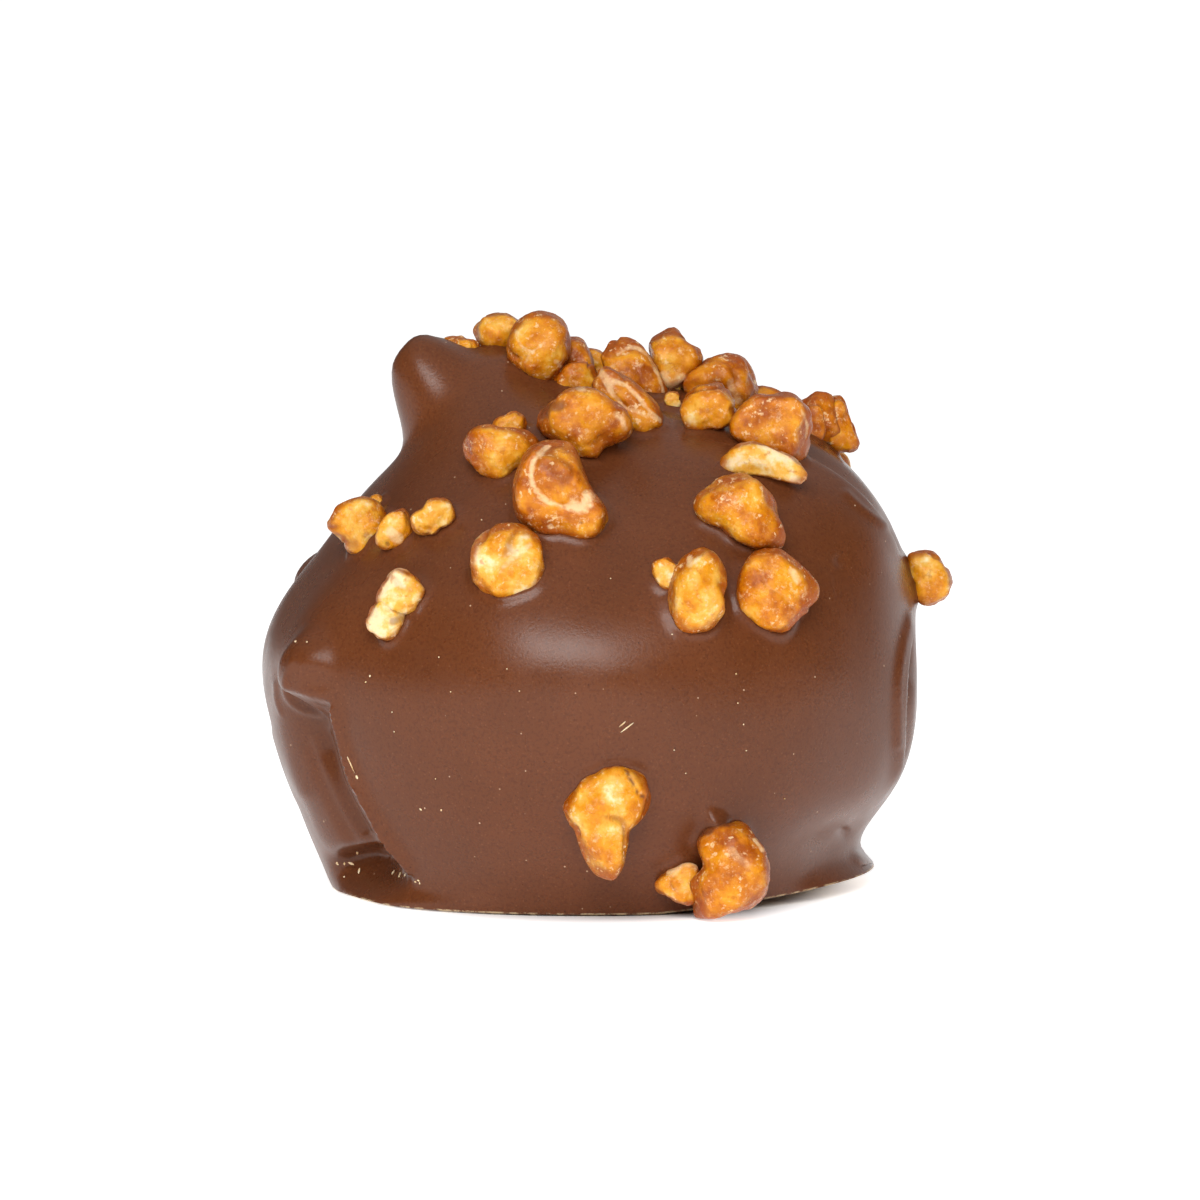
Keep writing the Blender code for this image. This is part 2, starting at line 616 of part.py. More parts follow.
def main():
    for old in list(bpy.data.objects):
        bpy.data.objects.remove(old)
    sweet = bpy.data.collections.new(SWEET)
    pieces = bpy.data.collections.new("nut_pieces")
    bpy.context.scene.collection.children.link(sweet)
    bpy.context.scene.collection.children.link(pieces)
    coat = build_coat(sweet)
    build_pieces(pieces)
    fuse(coat, pieces)
    coat.data.materials.clear()
    coat.data.materials.append(make_material("milk_chocolate", MILK_CHOCOLATE, 0.4))
    coat.data.shade_smooth()
    coat.data.set_sharp_from_angle(angle=math.radians(50))


main()
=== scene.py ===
"""How the hazelnut praline looks: its satin milk chocolate and its caramelised hazelnuts.

The forms are worked out from the same named sizes as the solid, in millimetres, with many more
points and with the fine relief that the solid leaves out. The foot's middle is the origin, +Z is
up, -Y is the front, and +X is to the right of someone who looks at the front.
"""

import math
from collections import namedtuple

import bmesh
import bpy
import numpy as np
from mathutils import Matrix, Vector, noise
from mathutils.bvhtree import BVHTree


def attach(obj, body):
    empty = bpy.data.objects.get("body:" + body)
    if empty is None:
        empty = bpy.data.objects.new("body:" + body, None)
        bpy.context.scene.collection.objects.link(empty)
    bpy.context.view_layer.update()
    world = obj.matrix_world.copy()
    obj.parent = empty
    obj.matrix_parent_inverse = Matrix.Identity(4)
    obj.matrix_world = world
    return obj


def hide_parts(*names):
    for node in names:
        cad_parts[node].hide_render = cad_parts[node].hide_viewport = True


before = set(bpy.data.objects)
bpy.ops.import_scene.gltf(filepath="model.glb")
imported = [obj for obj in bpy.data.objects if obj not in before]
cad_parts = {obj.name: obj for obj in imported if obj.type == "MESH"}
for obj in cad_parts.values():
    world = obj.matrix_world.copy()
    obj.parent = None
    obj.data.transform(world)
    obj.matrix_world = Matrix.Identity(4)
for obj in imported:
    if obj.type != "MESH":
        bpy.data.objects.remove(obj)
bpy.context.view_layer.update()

MM = 0.001
SWEET = "hazelnut_praline"

# The coat's reach is measured from the heart of the filling, which is this far above the table.
HEART_HEIGHT = 11.8
HEART = np.array((0.0, 0.0, HEART_HEIGHT))
TYPICAL_REACH = 16.0

# Reach of the coat on each side, at these angles above and below the level of the heart.
LEVELS = (-90, -60, -40, -20, 0, 20, 40, 60, 90)
REACH = {
    "front": (19.0, 19.0, 16.9, 16.6, 16.0, 14.9, 13.9, 13.3, 13.1),
    "right": (19.0, 19.0, 16.3, 16.3, 15.8, 15.75, 15.35, 13.8, 13.1),
    "back": (19.0, 19.0, 17.4, 16.6, 15.9, 15.3, 14.5, 13.4, 13.1),
    "left": (19.0, 19.0, 17.75, 16.75, 16.9, 14.8, 13.9, 13.3, 13.1),
}

# The chocolate creeps out into a thin rim where it met the tray. turn and spread are in degrees
# round the sweet, and the rim fades out towards its height.
Rim = namedtuple("Rim", "turn spread reach height")
RIMS = (
    Rim(92, 38, 2.3, 1.4),
    Rim(-48, 26, 0.9, 0.95),
    Rim(170, 50, 0.7, 0.95),
)
# The foot lifts off the table to the right of this line, by this angle.
LIFT_FROM = 2.8
LIFT_ANGLE = math.radians(4.2)

# Lumps and hollows of the coat. turn is the angle round the sweet from the front, to the right,
# and rise is the angle above the level of the heart. The other sizes are millimetres on the coat.
# tilt makes it higher on its right and lower on its left, or the other way if it is negative.
Lump = namedtuple(
    "Lump", "turn rise height across along lean sharpness tilt", defaults=(0, 1.0, 0.0)
)
LUMPS = {
    "horn": Lump(-86, 57, 3.4, 2.15, 2.1, 0, 1.5),
    "horn_root": Lump(-68, 58, 1.4, 4.4, 3.6),
    "horn_ridge": Lump(-94, 70, 2.4, 3.6, 2.6),
    "crown": Lump(60, 82, 0.2, 5.0, 6.0),
    "knob": Lump(-56.5, -2.2, 1.2, 1.8, 2.2, 0, 2.0, -0.25),
    "knob_hollow": Lump(-62, -12, -0.8, 2.4, 2.0),
    "knob_root": Lump(-57, 7, 0.7, 3.0, 2.8),
    "left_pocket": Lump(-60, -38, -1.8, 2.4, 0.95, 0, 1.1),
    "front_trough": Lump(8, 42, -0.9, 2.6, 6.0, 8, 1.0),
    "front_belly": Lump(-4, 6, 0.5, 8.0, 4.0, 6, 1.0),
    "right_shoulder": Lump(66, 26, 0.7, 4.0, 4.0),
    "right_waist": Lump(62, -34, -0.6, 4.0, 2.2),
    "back_left_bulge": Lump(-116, 12, 1.35, 2.6, 1.7, 0, 1.5),
    "back_peak": Lump(150, 34, 2.2, 2.4, 2.4, 0, 1.2),
    "back_hollow": Lump(-150, -8, -0.8, 5.0, 4.5),
    "back_belly": Lump(165, -14, 0.6, 6.0, 4.0),
}

# Folds where the coat ran down: the line's (turn, rise) points. The coat is lower by depth on the
# right of someone who walks along the line. The drop takes up edge, and eases back within reach.
Fold = namedtuple("Fold", "line depth edge reach lip")
FOLDS = {
    "left_fold": Fold(((-50, -4), (-51, -11), (-49, -20), (-45, -29), (-41, -38)), 1.5, 0.45, 6.5, 0.3),
    "left_crease": Fold(((-63, -10), (-59, -18), (-55.5, -26), (-53, -32)), 0.4, 0.7, 2.6, 0.2),
    "right_fold": Fold(((77, -26), (70.5, -16), (68.5, -8), (71.5, 1), (80, 8)), 1.0, 0.8, 3.4, 0.3),
    "shoulder_fold": Fold(((80, 14), (72, 24), (66, 36), (60, 46)), 0.45, 0.9, 3.5, 0.1),
    "back_fold": Fold(((-140, 26), (-136, 10), (-140, -10), (-146, -30)), 0.7, 1.4, 5.5, 0.2),
    "back_right_fold": Fold(((128, -34), (124, -16), (128, 2), (136, 16)), 0.6, 1.3, 5.0, 0.2),
}
FOLD_STEPS = 90
# How far a fold reaches past its own ends.
FOLD_PAST_END = 1.5
UNEVENNESS = 0.22
UNEVEN_SCALE = 2.3

# Nut pieces that show from the front are placed along the lines of sight of a viewer whose eye is
# this far away, this much above the level, looking at a point on the sweet's axis.
EYE_DISTANCE = 420.0
EYE_RISE = math.radians(5.5)
LOOKED_AT = np.array((0.0, 0.0, 14.27))
SIGHT_UP = np.array((0.0, math.sin(EYE_RISE), math.cos(EYE_RISE)))
SIGHT_BACK = np.array((0.0, -math.cos(EYE_RISE), math.sin(EYE_RISE)))
EYE = LOOKED_AT + EYE_DISTANCE * SIGHT_BACK
# A line of sight is searched for the coat from this much nearer than the sweet's middle to this
# much further, in coarse steps and then in fine ones.
SOUGHT_NEARER = 25
SOUGHT_FURTHER = 10
COARSE_STEPS = 90
FINE_STEPS = 40
# How far apart neighbours are when the coat's slope is measured, as a share of its reach.
NEIGHBOUR = 0.02

# across and up give a piece's middle as the viewer sees it, from the foot's middle. turn is its
# long way, anticlockwise from the right. taper narrows the far end, waist its middle, and bend
# curves its ends to its right. sunk is how much of its thickness is in the coat. behind is for a
# piece that stands against the sky: how far it is behind the coat's outline. reaches are its
# distances from its middle to eight sides, anticlockwise from the right.
Piece = namedtuple(
    "Piece",
    "across up length width turn taper waist bend thickness sunk behind reaches",
    defaults=(0.0, 0.0, 0.0, 0.8, 0.25, None, None),
)


def outlined(across, up, *reaches, thickness=0.8, sunk=0.25, behind=None):
    """A piece given by its reaches to eight sides as the viewer sees it, from its right side on."""
    size = 2 * sum(reaches) / len(reaches)
    return Piece(
        across, up, size, size, 90, thickness=thickness, sunk=sunk, behind=behind, reaches=reaches
    )


PIECES = {
    "left_pear": outlined(-12.25, 18.0, 1.5, 1.55, 1.3, 1.2, 1.3, 1.0, 1.65, 1.2, sunk=0.1),
    "left_knob": Piece(-11.3, 18.95, 1.1, 1.0, 40),
    "left_pebble": outlined(-10.25, 17.75, 0.9, 1.1, 0.95, 0.8, 0.85, 1.15, 0.95, 0.95, sunk=0.15),
    "left_bone": outlined(-8.4, 18.3, 1.1, 1.25, 1.05, 0.6, 1.0, 1.1, 0.8, 0.65, sunk=0.1),
    "left_lobe": Piece(-10.0, 14.55, 2.3, 2.1, 60, sunk=0.15),
    "left_lobe_tail": Piece(-10.7, 13.35, 2.1, 1.8, 60, sunk=0.15),
    "pillow": outlined(-4.6, 16.1, 1.75, 1.9, 1.85, 1.7, 1.75, 1.85, 1.9, 1.9, thickness=0.7, sunk=0.35),
    "fold_chunk": outlined(-5.0, 21.7, 1.9, 1.4, 1.1, 1.6, 1.7, 1.4, 1.6, 1.3, thickness=0.9),
    "fold_bud": Piece(-4.5, 22.8, 1.8, 1.5, 30),
    "kernel": outlined(-2.0, 19.7, 1.6, 1.6, 2.55, 2.45, 2.35, 2.4, 2.3, 2.95, thickness=0.85),
    "big_amber": outlined(
        -0.75, 22.95, 2.35, 1.85, 1.85, 2.1, 2.25, 1.4, 1.9, 1.55, thickness=0.9, sunk=0.2
    ),
    "top_round": outlined(
        -3.0, 27.05, 1.5, 1.75, 1.85, 1.75, 1.65, 1.8, 1.75, 1.6, thickness=0.95, behind=-2.0
    ),
    "top_left": outlined(
        -5.0, 27.55, 1.0, 1.2, 1.1, 1.1, 1.25, 1.1, 0.9, 1.1, thickness=1.0, behind=0.5
    ),
    "horn_sliver": Piece(-6.9, 26.6, 2.1, 1.6, -15, thickness=1.0, behind=0.5),
    "behind_round": Piece(-1.3, 26.35, 2.5, 1.8, -70, thickness=1.2, behind=-1.0),
    "top_gap": Piece(-0.3, 26.15, 2.2, 1.6, -50, thickness=1.0, behind=0.5),
    "ridge_brown": Piece(-1.2, 25.2, 2.3, 1.7, 15, thickness=1.0, behind=-2.5),
    "rimmed": Piece(1.4, 24.1, 4.3, 1.95, -43, taper=-0.1, thickness=1.1, sunk=0.1),
    "shell": Piece(1.85, 25.0, 4.9, 2.5, -58, taper=0.15, bend=0.06, thickness=0.9, behind=-1.5),
    "tower": outlined(3.7, 26.6, 1.5, 1.05, 1.4, 1.45, 1.15, 1.2, 2.05, 1.35, thickness=1.3, behind=0.0),
    "tower_foot": Piece(3.5, 25.0, 1.4, 1.1, -70, thickness=1.0, behind=-0.5),
    "sugar_lump": Piece(3.63, 24.15, 1.0, 0.85, 80, sunk=0.1),
    "dome": outlined(
        6.0, 24.9, 1.75, 1.75, 1.55, 1.55, 1.85, 1.6, 1.55, 1.75, thickness=0.95, behind=-1.8
    ),
    "ball": outlined(5.55, 23.75, 1.4, 1.4, 1.25, 1.3, 1.45, 1.45, 1.2, 1.3, sunk=0.05),
    "behind_dome": Piece(8.4, 24.4, 2.4, 1.5, -15, thickness=1.3, behind=0.8),
    "right_round": outlined(
        8.55, 22.9, 2.0, 2.05, 1.5, 1.7, 2.1, 1.5, 1.25, 2.15, thickness=0.85, sunk=0.15
    ),
    "right_post": Piece(10.75, 22.95, 2.0, 1.2, 90, thickness=1.0, behind=-0.8),
    "right_dark": Piece(11.1, 23.35, 2.6, 2.1, -75, thickness=1.1, behind=0.0),
    "right_back": Piece(12.3, 23.35, 3.1, 1.7, -68, bend=-0.05, thickness=1.5, behind=0.9),
    "crescent": Piece(8.2, 20.95, 4.3, 1.8, -12, taper=0.3, bend=0.1, thickness=0.9, sunk=0.2),
    "drop": outlined(7.1, 18.7, 1.7, 1.55, 1.9, 1.95, 2.2, 1.4, 1.75, 2.5, thickness=0.75),
    "finger": outlined(4.85, 14.6, 1.4, 1.75, 2.15, 1.65, 1.3, 1.7, 2.0, 1.75),
    "finger_bud": Piece(3.3, 15.5, 1.5, 1.2, 110, sunk=0.15),
    "knobbly": outlined(
        8.65, 14.6, 2.15, 1.85, 2.15, 2.0, 2.05, 1.75, 2.1, 1.85, thickness=0.7, sunk=0.35
    ),
    "side_nut": Piece(16.35, 15.3, 2.85, 2.35, -60, thickness=1.0, behind=0.5),
    "low_drop": outlined(
        0.25, 3.7, 2.05, 2.5, 2.15, 2.0, 2.05, 1.9, 3.35, 1.6, thickness=0.6, sunk=0.35
    ),
    "curl": outlined(6.5, 0.8, 1.9, 1.95, 2.35, 2.0, 1.35, 3.0, 2.35, 2.1, thickness=0.85, sunk=0.1),
    "curl_tip": outlined(3.85, 0.0, 1.0, 1.3, 0.85, 0.8, 1.05, 0.85, 0.9, 1.2, sunk=0.1),
}

# Pieces strewn over the crown and the sides that don't show from the front.
STREWN_SEED = 11
Strewn = namedtuple("Strewn", "count turn_from turn_to rise_from rise_to")
STREWN = (
    Strewn(5, 130, 240, 58, 72),
    Strewn(9, 118, 236, 30, 54),
    Strewn(5, 120, 234, 2, 26),
    Strewn(2, 140, 225, -30, -12),
)
STREWN_LENGTH = (2.4, 4.4)
STREWN_WIDTH = (0.65, 0.9)
STREWN_SHAPE = {
    "taper": (-0.3, 0.4), "waist": (0.0, 0.15), "bend": (-0.2, 0.2),
    "thickness": (0.7, 0.95), "sunk": (0.15, 0.4),
}
STREWN_TRIES = 200
STREWN_APART = 3.1

# Each piece starts as a boxy pebble. It loses its corners to chop marks, and then it is wrinkled.
BOXINESS = 2.8
CHOP_MARKS = 7
CHOP_BITE = 0.5
CHOP_DEPTHS = (0.72, 0.92)
# The chop marks of an outlined piece turn this much more towards the viewer.
OUTLINE_CHOPS_FACE = 1.6
WRINKLE = 0.1
WRINKLE_SCALE = 1.7
# A piece that stands against the sky is at least this share of its thickness in the coat.
LEAST_SUNK = 0.12
# The lowest piece stays this far above the table, so that the sweet rests on its foot alone.
NUT_CLEARANCE = 0.1

# How fine the meshes are. The coat is finer on the part of its ball that is in front of this.
COAT_SUBDIVISIONS = 7
FINER_BEFORE = -0.25
NUT_SUBDIVISIONS = 5
CRUMB_SUBDIVISIONS = 2
POINTS_AT_ONCE = 20000

# The coat climbs this much where it meets a nut, and the climb fades out over this width.
CLIMB = 0.16
CLIMB_WIDTH = 0.3
# The foot's edge stands this far above the table, over an underside this much narrower.
UNDERCUT_HEIGHT = 0.1
UNDERCUT_DEPTH = 0.35

# Soft dents and a few short creases on each nut piece, then its finer grain, in millimetres.
DENT_SIZE = 1.5
DENT_HEIGHT = 0.13
CREASE_DEPTH = 0.12
GRAIN = ((0.6, 0.05), (0.28, 0.03), (0.13, 0.014))
DENT_SEED = 1000

# How golden each nut piece is: 0 is dark amber and 1 is pale gold. The others are drawn.
NUT_TINTS = {
    "left_pear": 0.58, "left_knob": 0.6, "left_pebble": 0.7, "left_bone": 0.72,
    "left_lobe": 0.9, "left_lobe_tail": 0.88, "pillow": 0.75, "fold_chunk": 0.5,
    "fold_bud": 0.4, "kernel": 0.25, "big_amber": 0.4, "top_round": 0.42, "top_left": 0.6,
    "horn_sliver": 0.6, "behind_round": 0.2, "top_gap": 0.6, "ridge_brown": 0.2,
    "rimmed": 0.3, "shell": 0.35, "tower": 0.3, "tower_foot": 0.9, "sugar_lump": 1.0,
    "dome": 0.3, "ball": 0.5, "behind_dome": 0.6, "right_round": 0.25, "right_post": 0.3,
    "right_dark": 0.15, "right_back": 0.35, "crescent": 0.85, "drop": 0.45, "finger": 0.65,
    "finger_bud": 0.7, "knobbly": 0.28, "side_nut": 0.5, "low_drop": 0.48, "curl": 0.3,
    "curl_tip": 0.5,
}
TINT_SEED = 2000
DRAWN_TINTS = (0.2, 0.8)

# Marks on single nut pieces, each along a line of places as the viewer sees them. width is half as
# wide as the mark. tone is 1 for bared pale flesh or sugar and -1 for burnt or chocolate-smeared
# skin. dent is how deep the mark is sunk.
Mark = namedtuple("Mark", "nut tone width dent line")
MARKS = (
    Mark("kernel", 0.9, 0.17, 0.22, (
        (-2.6, 21.85), (-3.3, 21.2), (-3.45, 20.4), (-3.2, 19.7), (-2.6, 19.15), (-1.7, 18.85),
        (-0.95, 19.0), (-0.65, 19.6),
    )),
    Mark("kernel", 0.85, 0.34, 0.0, ((-1.25, 18.95), (-0.8, 18.75), (-0.6, 19.3))),
    Mark("kernel", -0.3, 0.95, -0.1, ((-2.1, 20.5), (-2.0, 20.3))),
    Mark("kernel", -0.7, 0.11, 0.14, ((-0.95, 18.15), (-0.9, 18.1))),
    Mark("kernel", 0.9, 0.13, 0.0, ((-2.5, 17.9), (-2.45, 17.85))),
    Mark("big_amber", -0.7, 0.36, 0.12, ((-2.85, 23.5), (-2.6, 23.75), (-2.05, 23.95))),
    Mark("big_amber", 0.7, 0.2, 0.0, ((0.85, 23.5), (1.1, 23.2), (1.25, 22.8))),
    Mark("big_amber", 0.7, 0.17, 0.0, ((-1.1, 24.85), (-0.8, 24.75))),
    Mark("shell", 0.7, 0.13, 0.05, ((0.9, 26.5), (1.6, 26.85), (2.4, 26.45), (2.85, 25.6))),
    Mark("shell", 0.7, 0.1, 0.0, ((2.85, 25.6), (3.1, 24.9), (3.2, 24.2))),
    Mark("rimmed", 0.8, 0.26, 0.0, ((0.05, 25.6), (0.4, 25.1), (0.5, 24.7))),
    Mark("rimmed", 0.8, 0.14, 0.06, (
        (0.8, 25.1), (1.3, 24.9), (1.75, 24.5), (2.2, 24.0), (2.6, 23.5), (3.0, 23.2),
    )),
    Mark("rimmed", 0.6, 0.13, 0.04, ((0.5, 24.7), (1.2, 23.9), (1.7, 23.7), (2.4, 23.4))),
    Mark("top_round", 0.6, 0.1, 0.02, ((-4.2, 27.7), (-4.0, 27.0), (-3.45, 26.65), (-3.0, 26.9))),
    Mark("top_round", 0.6, 0.1, 0.02, ((-3.45, 26.65), (-3.7, 26.1))),
    Mark("top_round", 0.7, 0.17, 0.0, ((-2.2, 26.1), (-1.9, 25.8))),
    Mark("tower", 0.8, 0.4, 0.0, ((3.2, 25.3), (3.5, 24.9), (4.0, 25.2))),
    Mark("dome", 1.0, 0.11, -0.03, ((6.9, 25.35), (6.95, 25.33))),
    Mark("dome", 0.6, 0.25, 0.0, ((6.5, 25.0), (6.8, 24.5), (6.9, 24.2))),
    Mark("right_round", 0.6, 0.11, 0.05, ((10.05, 23.7), (10.35, 23.0), (10.3, 22.3))),
    Mark("right_round", 0.3, 0.13, 0.05, ((7.2, 23.4), (7.9, 23.7), (8.8, 23.65))),
    Mark("low_drop", -0.8, 0.1, 0.12, ((1.3, 5.7), (1.55, 5.2), (1.75, 4.7), (2.2, 4.3))),
    Mark("low_drop", -0.35, 0.3, 0.0, ((1.9, 5.4), (2.2, 4.9))),
    Mark("curl", -0.9, 0.36, -0.04, ((5.2, 2.7), (5.6, 3.0), (6.2, 3.15))),
    Mark("curl", 0.8, 0.11, 0.03, ((7.75, 2.2), (8.1, 1.7))),
    Mark("curl", 0.5, 0.3, 0.0, ((6.6, 1.6), (7.4, 0.9))),
    Mark("curl_tip", 0.8, 0.3, 0.08, ((3.6, 0.6), (4.2, 1.05), (4.8, 1.0))),
    Mark("left_pebble", 0.8, 0.3, 0.0, ((-10.5, 17.6), (-10.1, 17.3))),
    Mark("left_pebble", -0.6, 0.12, 0.05, ((-10.65, 17.05), (-10.6, 17.0))),
    Mark("left_lobe_tail", -0.6, 0.26, 0.1, ((-10.2, 13.75), (-9.75, 13.4), (-10.3, 13.2))),
    Mark("left_lobe", -0.35, 0.2, 0.0, ((-10.3, 15.3), (-10.0, 14.9), (-9.5, 14.7))),
    Mark("pillow", 0.6, 0.17, 0.04, ((-3.5, 16.95), (-4.2, 16.4), (-4.8, 15.9))),
    Mark("finger", 0.8, 0.22, 0.0, ((4.5, 16.3), (4.5, 16.0))),
    Mark("finger", -0.4, 0.12, 0.05, ((4.3, 13.65), (4.55, 13.6))),
    Mark("knobbly", 0.7, 0.22, 0.03, ((9.6, 15.6), (9.9, 15.2))),
    Mark("knobbly", 0.4, 0.12, 0.1, ((8.0, 15.8), (8.4, 14.9), (9.2, 14.4), (9.8, 13.6))),
)
MARK_STEPS = 50
# The outline of a mark wanders by this share of its width.
MARK_WOBBLE = 0.5

# Ridges and dents on the front of the coat that are too fine for the solid: how far each stands
# out, its half width, and its line as the viewer sees it.
Ridge = namedtuple("Ridge", "height width line")
RIDGES = {
    "fold_crest": Ridge(0.15, 0.16, (
        (-13.4, 8.7), (-12.95, 6.85), (-12.45, 5.2), (-11.45, 3.35), (-10.65, 1.85), (-9.5, 0.6),
    )),
    "recess_ridge": Ridge(0.14, 0.3, ((-14.1, 7.2), (-13.5, 5.6), (-12.75, 4.0), (-11.9, 2.5))),
    "outline_ridge": Ridge(0.16, 0.5, ((-16.4, 7.3), (-15.7, 6.0), (-14.9, 4.7))),
    "knob_rim": Ridge(0.12, 0.16, (
        (-15.35, 11.3), (-15.75, 10.2), (-15.6, 9.3), (-14.9, 8.7), (-13.9, 8.45),
    )),
    "knob_side": Ridge(0.07, 0.12, ((-16.25, 10.0), (-16.2, 9.2), (-15.95, 8.5))),
    "knob_face": Ridge(-0.32, 0.75, ((-14.45, 10.1), (-14.3, 10.0))),
    "pocket": Ridge(-0.55, 0.55, ((-12.6, 1.0), (-11.7, 1.05), (-10.8, 0.8))),
    "pocket_floor": Ridge(-0.3, 0.5, ((-12.6, 0.4), (-11.5, 0.2), (-10.4, 0.0))),
    "right_ridge": Ridge(0.12, 0.25, (
        (15.7, 15.1), (15.5, 13.4), (15.1, 11.55), (14.9, 9.75), (14.9, 7.0),
    )),
    "shoulder_edge": Ridge(0.1, 0.2, ((12.3, 19.55), (13.15, 18.75), (14.25, 17.95))),
    "right_dimple": Ridge(-0.12, 0.3, ((12.0, 16.25), (12.05, 16.15))),
    "drip_on_curl": Ridge(0.6, 0.45, ((5.6, 3.3), (5.9, 3.2))),
    "low_dimple": Ridge(-0.14, 0.3, ((12.25, 2.55), (12.3, 2.5))),
    "rim_lip": Ridge(0.5, 0.28, ((12.9, 1.35), (13.5, 1.5), (14.0, 1.5))),
}
# A finger left this many short ridges side by side, each a step to the right of the last.
FINGER_RIDGES = 7
for number in range(FINGER_RIDGES):
    right, down = 0.13 * number, 0.08 * number
    line = ((10.75 + right, 15.9 - down), (10.9 + right, 14.9 - down))
    RIDGES[f"finger_mark_{number}"] = Ridge(0.025, 0.05, line)
RIDGE_STEPS = 60
# A ridge is worked out within this many of its widths, on the part of the coat in front of this.
RIDGE_MARGIN = 3
RIDGED_BEFORE = 2.0

# Flakes and crumbs on the coat: each area's middle and half spread as the viewer sees it, and how
# many, how long and how slim they are. turn is their long way.
Crumbs = namedtuple(
    "Crumbs", "across up spread_across spread_up count length slim turn", defaults=(0,)
)
CRUMBS = (
    Crumbs(-12.25, 1.35, 0.2, 0.35, 2, 0.34, 0.35, -80),
    Crumbs(-13.0, 0.75, 0.3, 0.4, 4, 0.18, 0.6, 70),
    Crumbs(-11.9, 0.3, 0.6, 0.6, 5, 0.28, 0.4, 80),
    Crumbs(-10.3, 0.3, 0.7, 0.3, 4, 0.3, 0.4, -60),
    Crumbs(-10.6, -0.35, 1.1, 0.3, 6, 0.22, 0.5, 60),
    Crumbs(-9.3, 0.05, 0.4, 0.15, 4, 0.14, 0.6),
    Crumbs(-8.85, 14.15, 0.0, 0.0, 1, 0.3, 0.8),
    Crumbs(-8.8, 15.1, 0.05, 0.0, 1, 0.36, 0.35, 20),
    Crumbs(-15.1, 12.4, 1.2, 0.6, 2, 0.12, 0.8),
    Crumbs(-11.0, 10.9, 0.8, 1.4, 3, 0.1, 0.8),
    Crumbs(-12.5, 6.1, 0.0, 0.0, 1, 1.0, 0.05, -64),
    Crumbs(-12.15, 5.35, 0.0, 0.0, 1, 0.22, 0.6, -60),
    Crumbs(-8.6, 3.85, 0.8, 0.2, 2, 0.13, 0.8),
    Crumbs(1.0, 7.75, 0.4, 0.2, 1, 0.8, 0.05, 38),
    Crumbs(1.3, 8.0, 0.2, 0.1, 1, 0.45, 0.06, 40),
    Crumbs(0.0, 11.0, 12.0, 9.0, 24, 0.07, 0.8),
)
# No crumb is thinner than twice this, so that it stands clear of the coat.
LEAST_CRUMB = 0.035
CRUMB_TURN_SPREAD = 45
CRUMB_SEED = 5

# The paper has a painted glow that is none under the sweet, so the shade round its foot is partly
# painted: its foot's half sizes across and from front to back, and how many times that far the glow
# starts and is full.
GLOW = 0.72
FOOT_HALF = (13.5, 16.5)
GLOW_FROM = 0.75
GLOW_FULL = 1.0
FLOOR_HALF_METRES = 4.0

LENS = 252.0
SENSOR = 36.0

# The one lamp, in metres and watts, and the height on the sweet that it is aimed at.
KEY_PLACE = (-0.055, -0.385, 0.245)
KEY_SIZE = (0.36, 0.2)
KEY_POWER = 2.0
KEY_AIM_HEIGHT = 0.012

# How strongly the chocolate and the caramel mirror the lights.
MIRRORING = 0.27


def smooth_step(value, low, high):
    """0 below low, 1 above high, and a smooth rise between them."""
    share = np.clip((value - low) / (high - low), 0.0, 1.0)
    return share * share * (3.0 - 2.0 * share)


def smooth_curve(at, knots, values):
    """A smooth curve through the values at the knots, read at each place."""
    knots = np.array(knots, float)
    values = np.array(values, float)
    slopes = np.gradient(values, knots)
    span = np.clip(np.searchsorted(knots, at) - 1, 0, len(knots) - 2)
    width = knots[span + 1] - knots[span]
    s = (at - knots[span]) / width
    return (
        values[span] * (1 + 2 * s) * (1 - s) ** 2
        + slopes[span] * width * s * (1 - s) ** 2
        + values[span + 1] * s * s * (3 - 2 * s)
        + slopes[span + 1] * width * s * s * (s - 1)
    )


def noise_at(points, scale, offset=(0.0, 0.0, 0.0)):
    """Smooth noise between -1 and 1 at each point."""
    shift = Vector(offset)
    return np.array([noise.noise(Vector(point) * scale + shift) for point in points])


def unit(vectors):
    """One vector or many, each made 1 long."""
    return vectors / np.linalg.norm(vectors, axis=-1, keepdims=True)


def direction(turn, rise):
    """The unit direction at turn degrees round from the front and rise degrees above the level."""
    turn = np.radians(turn)
    rise = np.radians(rise)
    return np.stack(
        [np.sin(turn) * np.cos(rise), -np.cos(turn) * np.cos(rise), np.sin(rise)], axis=-1
    )


def smooth_reach(ways):
    """The coat's reach without its lumps, from the four sides' curves, mixed by the turn."""
    rise = np.degrees(np.arcsin(np.clip(ways[:, 2], -1, 1)))
    turn = np.arctan2(ways[:, 0], -ways[:, 1])
    right = np.sin(turn)
    front = np.cos(turn)
    shares = {
        "front": np.maximum(front, 0) ** 2,
        "back": np.maximum(-front, 0) ** 2,
        "right": np.maximum(right, 0) ** 2,
        "left": np.maximum(-right, 0) ** 2,
    }
    return sum(share * smooth_curve(rise, LEVELS, REACH[side]) for side, share in shares.items())


def lump_height(ways, lump):
    """A rounded lump or hollow, as what it adds to the reach."""
    middle = direction(lump.turn, lump.rise)
    sideways = direction(lump.turn + 90, 0)
    upward = np.cross(middle, sideways) * -1
    lean = math.radians(lump.lean)
    apart = (ways - middle) * TYPICAL_REACH
    across = apart @ (sideways * math.cos(lean) + upward * math.sin(lean))
    along = apart @ (upward * math.cos(lean) - sideways * math.sin(lean))
    square = (across / lump.across) ** 2 + (along / lump.along) ** 2
    same_side = smooth_step(ways @ middle, 0.0, 0.35)
    height = lump.height * (1 + lump.tilt * across / lump.across)
    return height * np.exp(-(square**lump.sharpness)) * same_side


